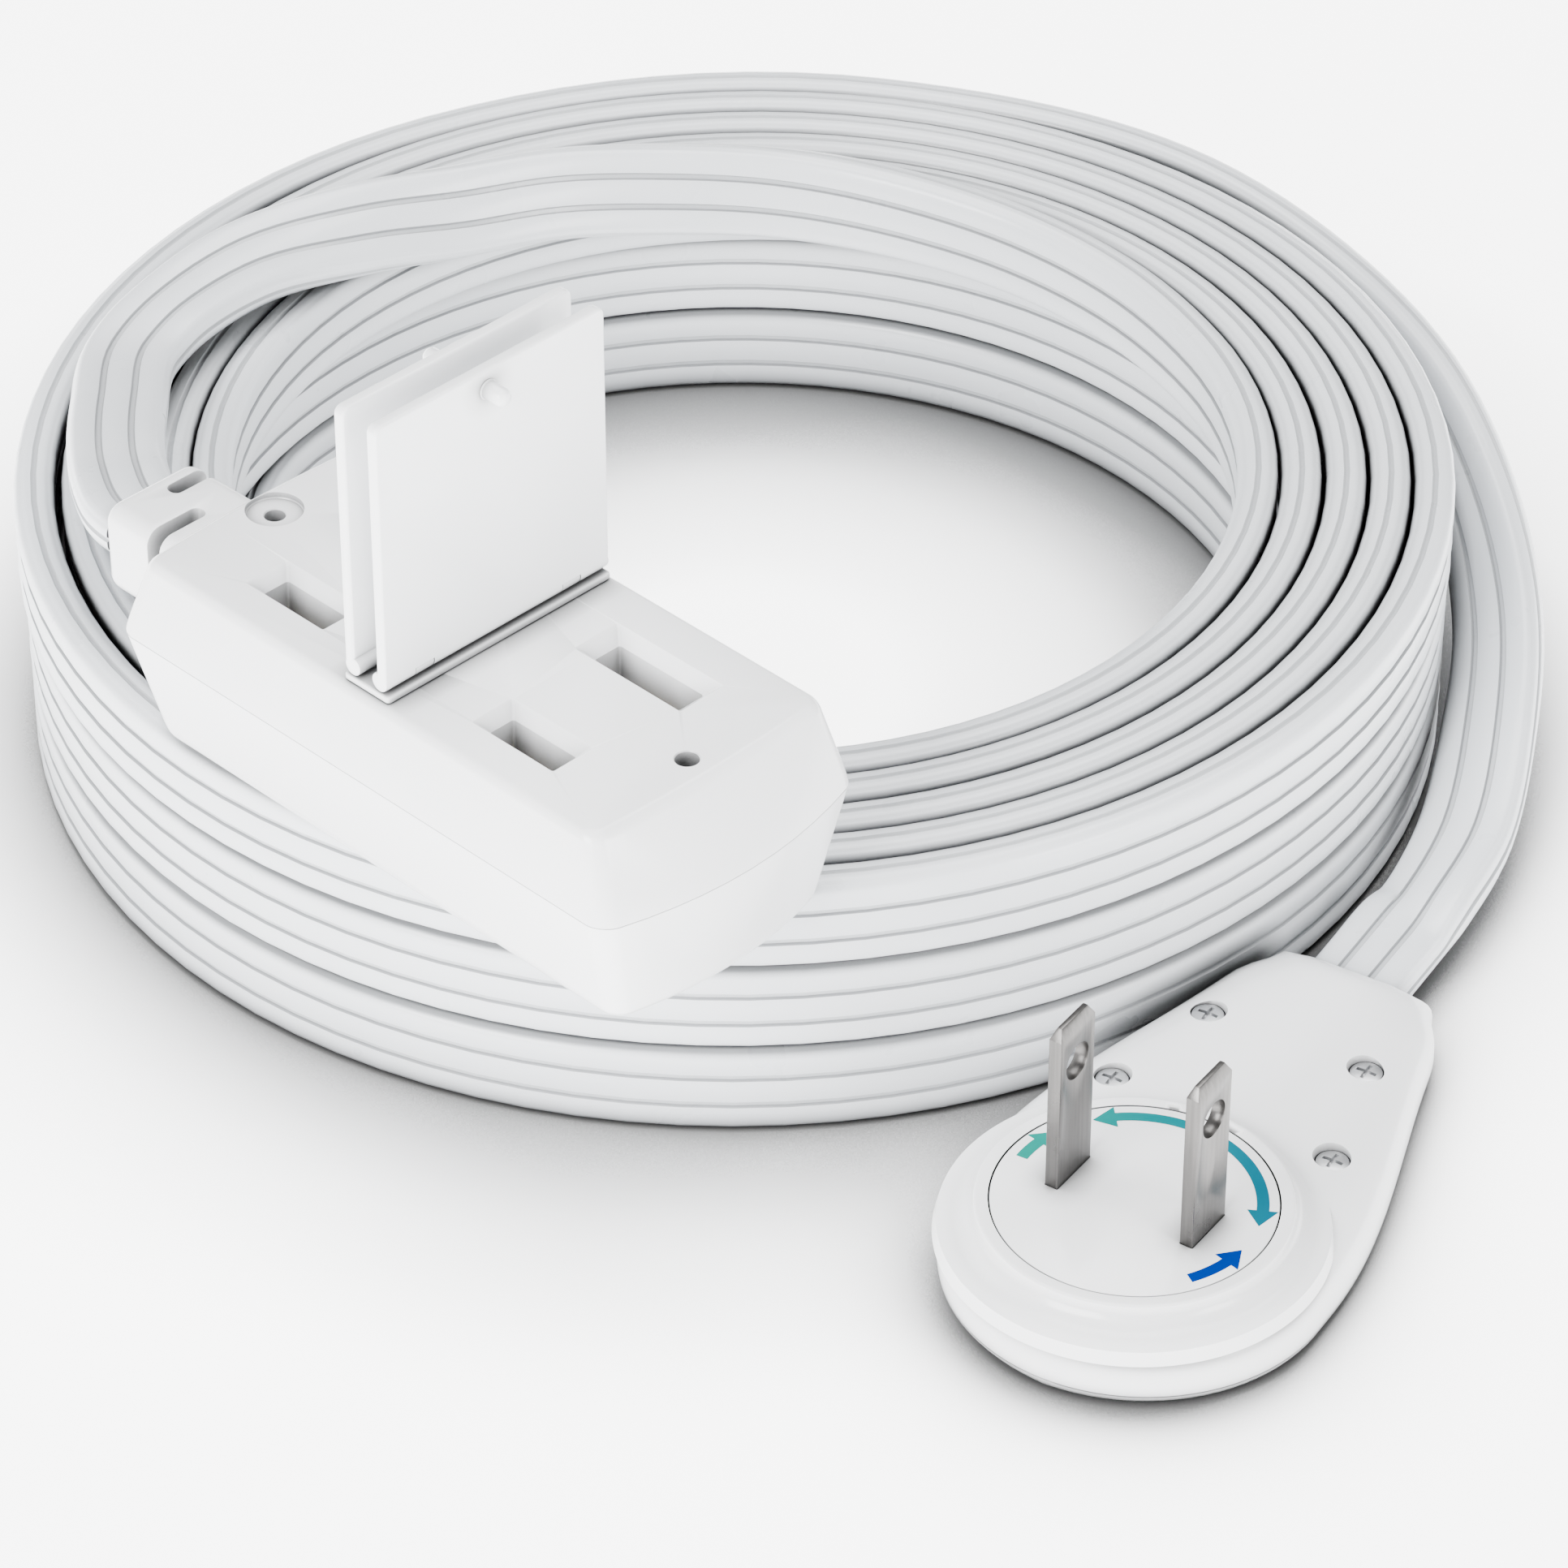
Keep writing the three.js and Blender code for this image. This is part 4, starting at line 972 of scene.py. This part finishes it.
def make_rotor():
    """The turning disc that carries the blades."""
    face = PLUG_FACE_Z
    profile = [
        (0, 5.2), (12.3, 5.2), (12.3, 6.0), (ROTOR_RADIUS, 6.0), (ROTOR_RADIUS, face - 0.1),
        (ROTOR_RADIUS - 0.04, face - 0.03), (ROTOR_RADIUS - 0.12, face), (0, face),
    ]
    disc = turned("turning_disc", profile, ROTOR, sides=128, angle=SHARP_ANGLE)
    disc = cut(disc, post(1.7, 4.0, 6.5, ROTOR), angle=SHARP_ANGLE)
    for side in (-1, 1):
        outline = rectangle(BLADE_THICKNESS + 0.08, BLADE_WIDTH + 0.08, side * POLE_SPACING / 2.0, 0.0, 0.1)
        socket = skin("socket", placed([ring_at(outline, z) for z in (4.0, face + 1.0)], ROTOR))
        disc = cut(disc, socket, angle=SHARP_ANGLE)
    claim(disc, "rotor", ("plug_rotor",), SHELL)


def make_blade(name, node, side):
    """One flat blade with a chamfered tip, a round hole and eased edges."""
    tip = PLUG_FACE_Z + BLADE_LENGTH
    x = side * POLE_SPACING / 2.0
    levels = ((5.5, 0.0, 0.0), (tip - 1.0, 0.0, 0.0), (tip, 0.75, 1.2))
    rings = []
    for z, thinner, narrower in levels:
        outline = rectangle(BLADE_THICKNESS - thinner, BLADE_WIDTH - narrower, x, 0.0, 0.05, 1)
        rings.append(ring_at(outline, z))
    blade = skin(name, placed(rings, ROTOR), smooth_angle=20.0)
    ring = circle(1.65, 0.0, tip - 4.3, 64)
    hole = skin("hole", placed([[(at, y, z) for y, z in ring] for at in (x - 2.0, x + 2.0)], ROTOR))
    blade = rounded(cut(blade, hole), 0.1, 2, 25.0)
    claim(blade, "rotor", (node,), NICKEL)


def make_plug_screw(index, along, across):
    """A domed cross-head screw sunk into its pocket."""
    seat = SCREW_SEAT_Z
    profile = [
        (0, 1.0), (0.6, 1.5), (0.6, seat), (1.36, seat), (1.42, seat + 0.1), (1.42, seat + 0.42),
        (1.36, seat + 0.54), (1.1, seat + 0.62), (0.6, seat + 0.68), (0, seat + 0.7),
    ]
    screw = turned(f"cross_screw_{index}", profile, PLUG, along, across, 48)
    arm, half, floor = 0.9, 0.17, seat + 0.32
    for a, b in ((arm, half), (half, arm)):
        screw = cut(screw, box(along - a, along + a, across - b, across + b, floor, seat + 2.0, PLUG))
    claim(screw, "block", (f"plug_screw_{index}",), STEEL)


def arrow_marks(start, end, both_ends):
    """(degrees, width) along a curved arrow from start to end, with its head at the end."""
    shaft, head, head_turn = 1.0, 2.5, 10.5
    way = 1.0 if end > start else -1.0
    marks = []
    first, last = start, end - way * head_turn
    if both_ends:
        marks += [(start, 0.04), (start + way * head_turn, head)]
        first = start + way * head_turn
    steps = max(4, int(abs(last - first) / 3.0))
    for step in range(steps + 1):
        marks.append((first + (last - first) * step / steps, shaft))
    return marks + [(last, head), (end, 0.04)]


def make_arrow(name, start, end, both_ends, ink):
    """A curved arrow printed on the disc."""
    rings = []
    for degrees, width in arrow_marks(start, end, both_ends):
        a = math.radians(degrees)
        ring = []
        for share, z in ((-0.5, -0.02), (0.5, -0.02), (0.5, 0.02), (-0.5, 0.02)):
            reach = ARROW_RADIUS + share * width
            ring.append((reach * math.cos(a), reach * math.sin(a), PLUG_FACE_Z + z))
        rings.append(ring)
    arrow = skin(name, placed(rings, ROTOR), smooth_angle=20.0)
    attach(arrow, "rotor")
    arrow.data.materials.append(ink)


PLUG_TOP = make_upper_housing()
PLUG_BACK = make_lower_housing()
make_rotor()
make_blade("nickel_blade_line", "blade_line", 1)
make_blade("nickel_blade_neutral", "blade_neutral", -1)
for screw_index, (screw_along, screw_across) in enumerate(PLUG_SCREWS, 1):
    make_plug_screw(screw_index, screw_along, screw_across)
TEAL_TO_BLUE = printed_ink("ink_teal_blue", (0.0, 0.22, 0.17), (0.0, 0.095, 0.15), 0.018, 0.040)
BLUE = printed_ink("ink_blue", (0.0, 0.02, 0.18), (0.0, 0.024, 0.21), 0.018, 0.040)
make_arrow("arrow_long", 141.0, 16.0, True, TEAL_TO_BLUE)
make_arrow("arrow_teal", 184.0, 160.0, False, TEAL_TO_BLUE)
make_arrow("arrow_blue", -33.0, -2.5, False, BLUE)


# ---------------------------------------------------------------- CAD nodes that stay

INNER_MATERIALS = {
    "bus_bar": BRASS, "clip": BRASS, "wiper": BRASS, "slip_ring": COPPER,
    "block_conductor": COPPER, "plug_conductor": COPPER, "hinge_pin": STEEL, "block_screw": STEEL,
}


def dress_inner_nodes():
    """Procedural metals on the CAD nodes that show through slots or stay inside."""
    for node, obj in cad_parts.items():
        for start, material in INNER_MATERIALS.items():
            if node.startswith(start):
                obj.data.materials.clear()
                obj.data.materials.append(material)


dress_inner_nodes()


# ---------------------------------------------------------------- studio

# Strength of the floor's painted glow, which also lights the object from below.
FLOOR_GLOW = 4.6


def floor_material():
    """White paper with a painted glow and painted contact shadow: its colour and glow darker where the object
    stands close to it.
    """
    material, tree, shader, place = material_with("floor_paper")
    paper = noise_texture(tree, place, 30.0, 2.0)
    pale = colour_ramp(tree, paper, (0.90, 0.90, 0.90), (0.92, 0.92, 0.92))
    # Painted contact shadow in the paper's colour.
    tree.links.new(painted_recess_shade(tree, pale, 0.016), shader.inputs["Base Color"])
    shader.inputs["Roughness"].default_value = 0.7
    shader.inputs["Specular IOR Level"].default_value = 0.2
    # Painted contact shadow in the glow: it fades where the object stands close.
    painted_shadow_ao = tree.nodes.new("ShaderNodeAmbientOcclusion")
    painted_shadow_ao.samples = 8
    painted_shadow_ao.inputs["Distance"].default_value = 0.035
    glow = tree.nodes.new("ShaderNodeMapRange")
    glow.inputs["From Min"].default_value = 0.5
    glow.inputs["To Max"].default_value = FLOOR_GLOW
    tree.links.new(painted_shadow_ao.outputs["AO"], glow.inputs["Value"])
    shader.inputs["Emission Color"].default_value = (1.0, 1.0, 1.0, 1.0)
    tree.links.new(glow.outputs["Result"], shader.inputs["Emission Strength"])
    return material


def make_floor():
    """A white floor with a painted glow and painted contact shadow."""
    reach = 2.5
    corners = [(-reach, -reach, 0.0), (reach, -reach, 0.0), (reach, reach, 0.0), (-reach, reach, 0.0)]
    floor = new_object("floor", corners, [(0, 1, 2, 3)])
    floor.data.materials.append(floor_material())


def area_light(name, position, size, power, colour=(1.0, 1.0, 1.0)):
    """A soft square light aimed at the object, places in metres."""
    data = bpy.data.lights.new(name, "AREA")
    data.size = size
    data.energy = power
    data.color = colour
    light = bpy.data.objects.new(name, data)
    light.location = position
    aim = Vector((0.0, 0.03, 0.02)) - Vector(position)
    light.rotation_euler = aim.to_track_quat("-Z", "Y").to_euler()
    bpy.context.collection.objects.link(light)


def make_lights():
    """Soft white studio light, strongest from the front left."""
    world = bpy.data.worlds.new("studio")
    world.use_nodes = True
    background = world.node_tree.nodes["Background"]
    background.inputs["Color"].default_value = (0.97, 0.985, 1.0, 1.0)
    background.inputs["Strength"].default_value = 0.5
    bpy.context.scene.world = world
    area_light("overhead", (0.1, 0.3, 1.15), 0.9, 23.0)
    area_light("front_left", (-0.75, -0.95, 0.6), 0.8, 46.0)
    area_light("front_right", (0.9, -0.7, 0.45), 0.5, 12.0)


make_floor()
make_lights()
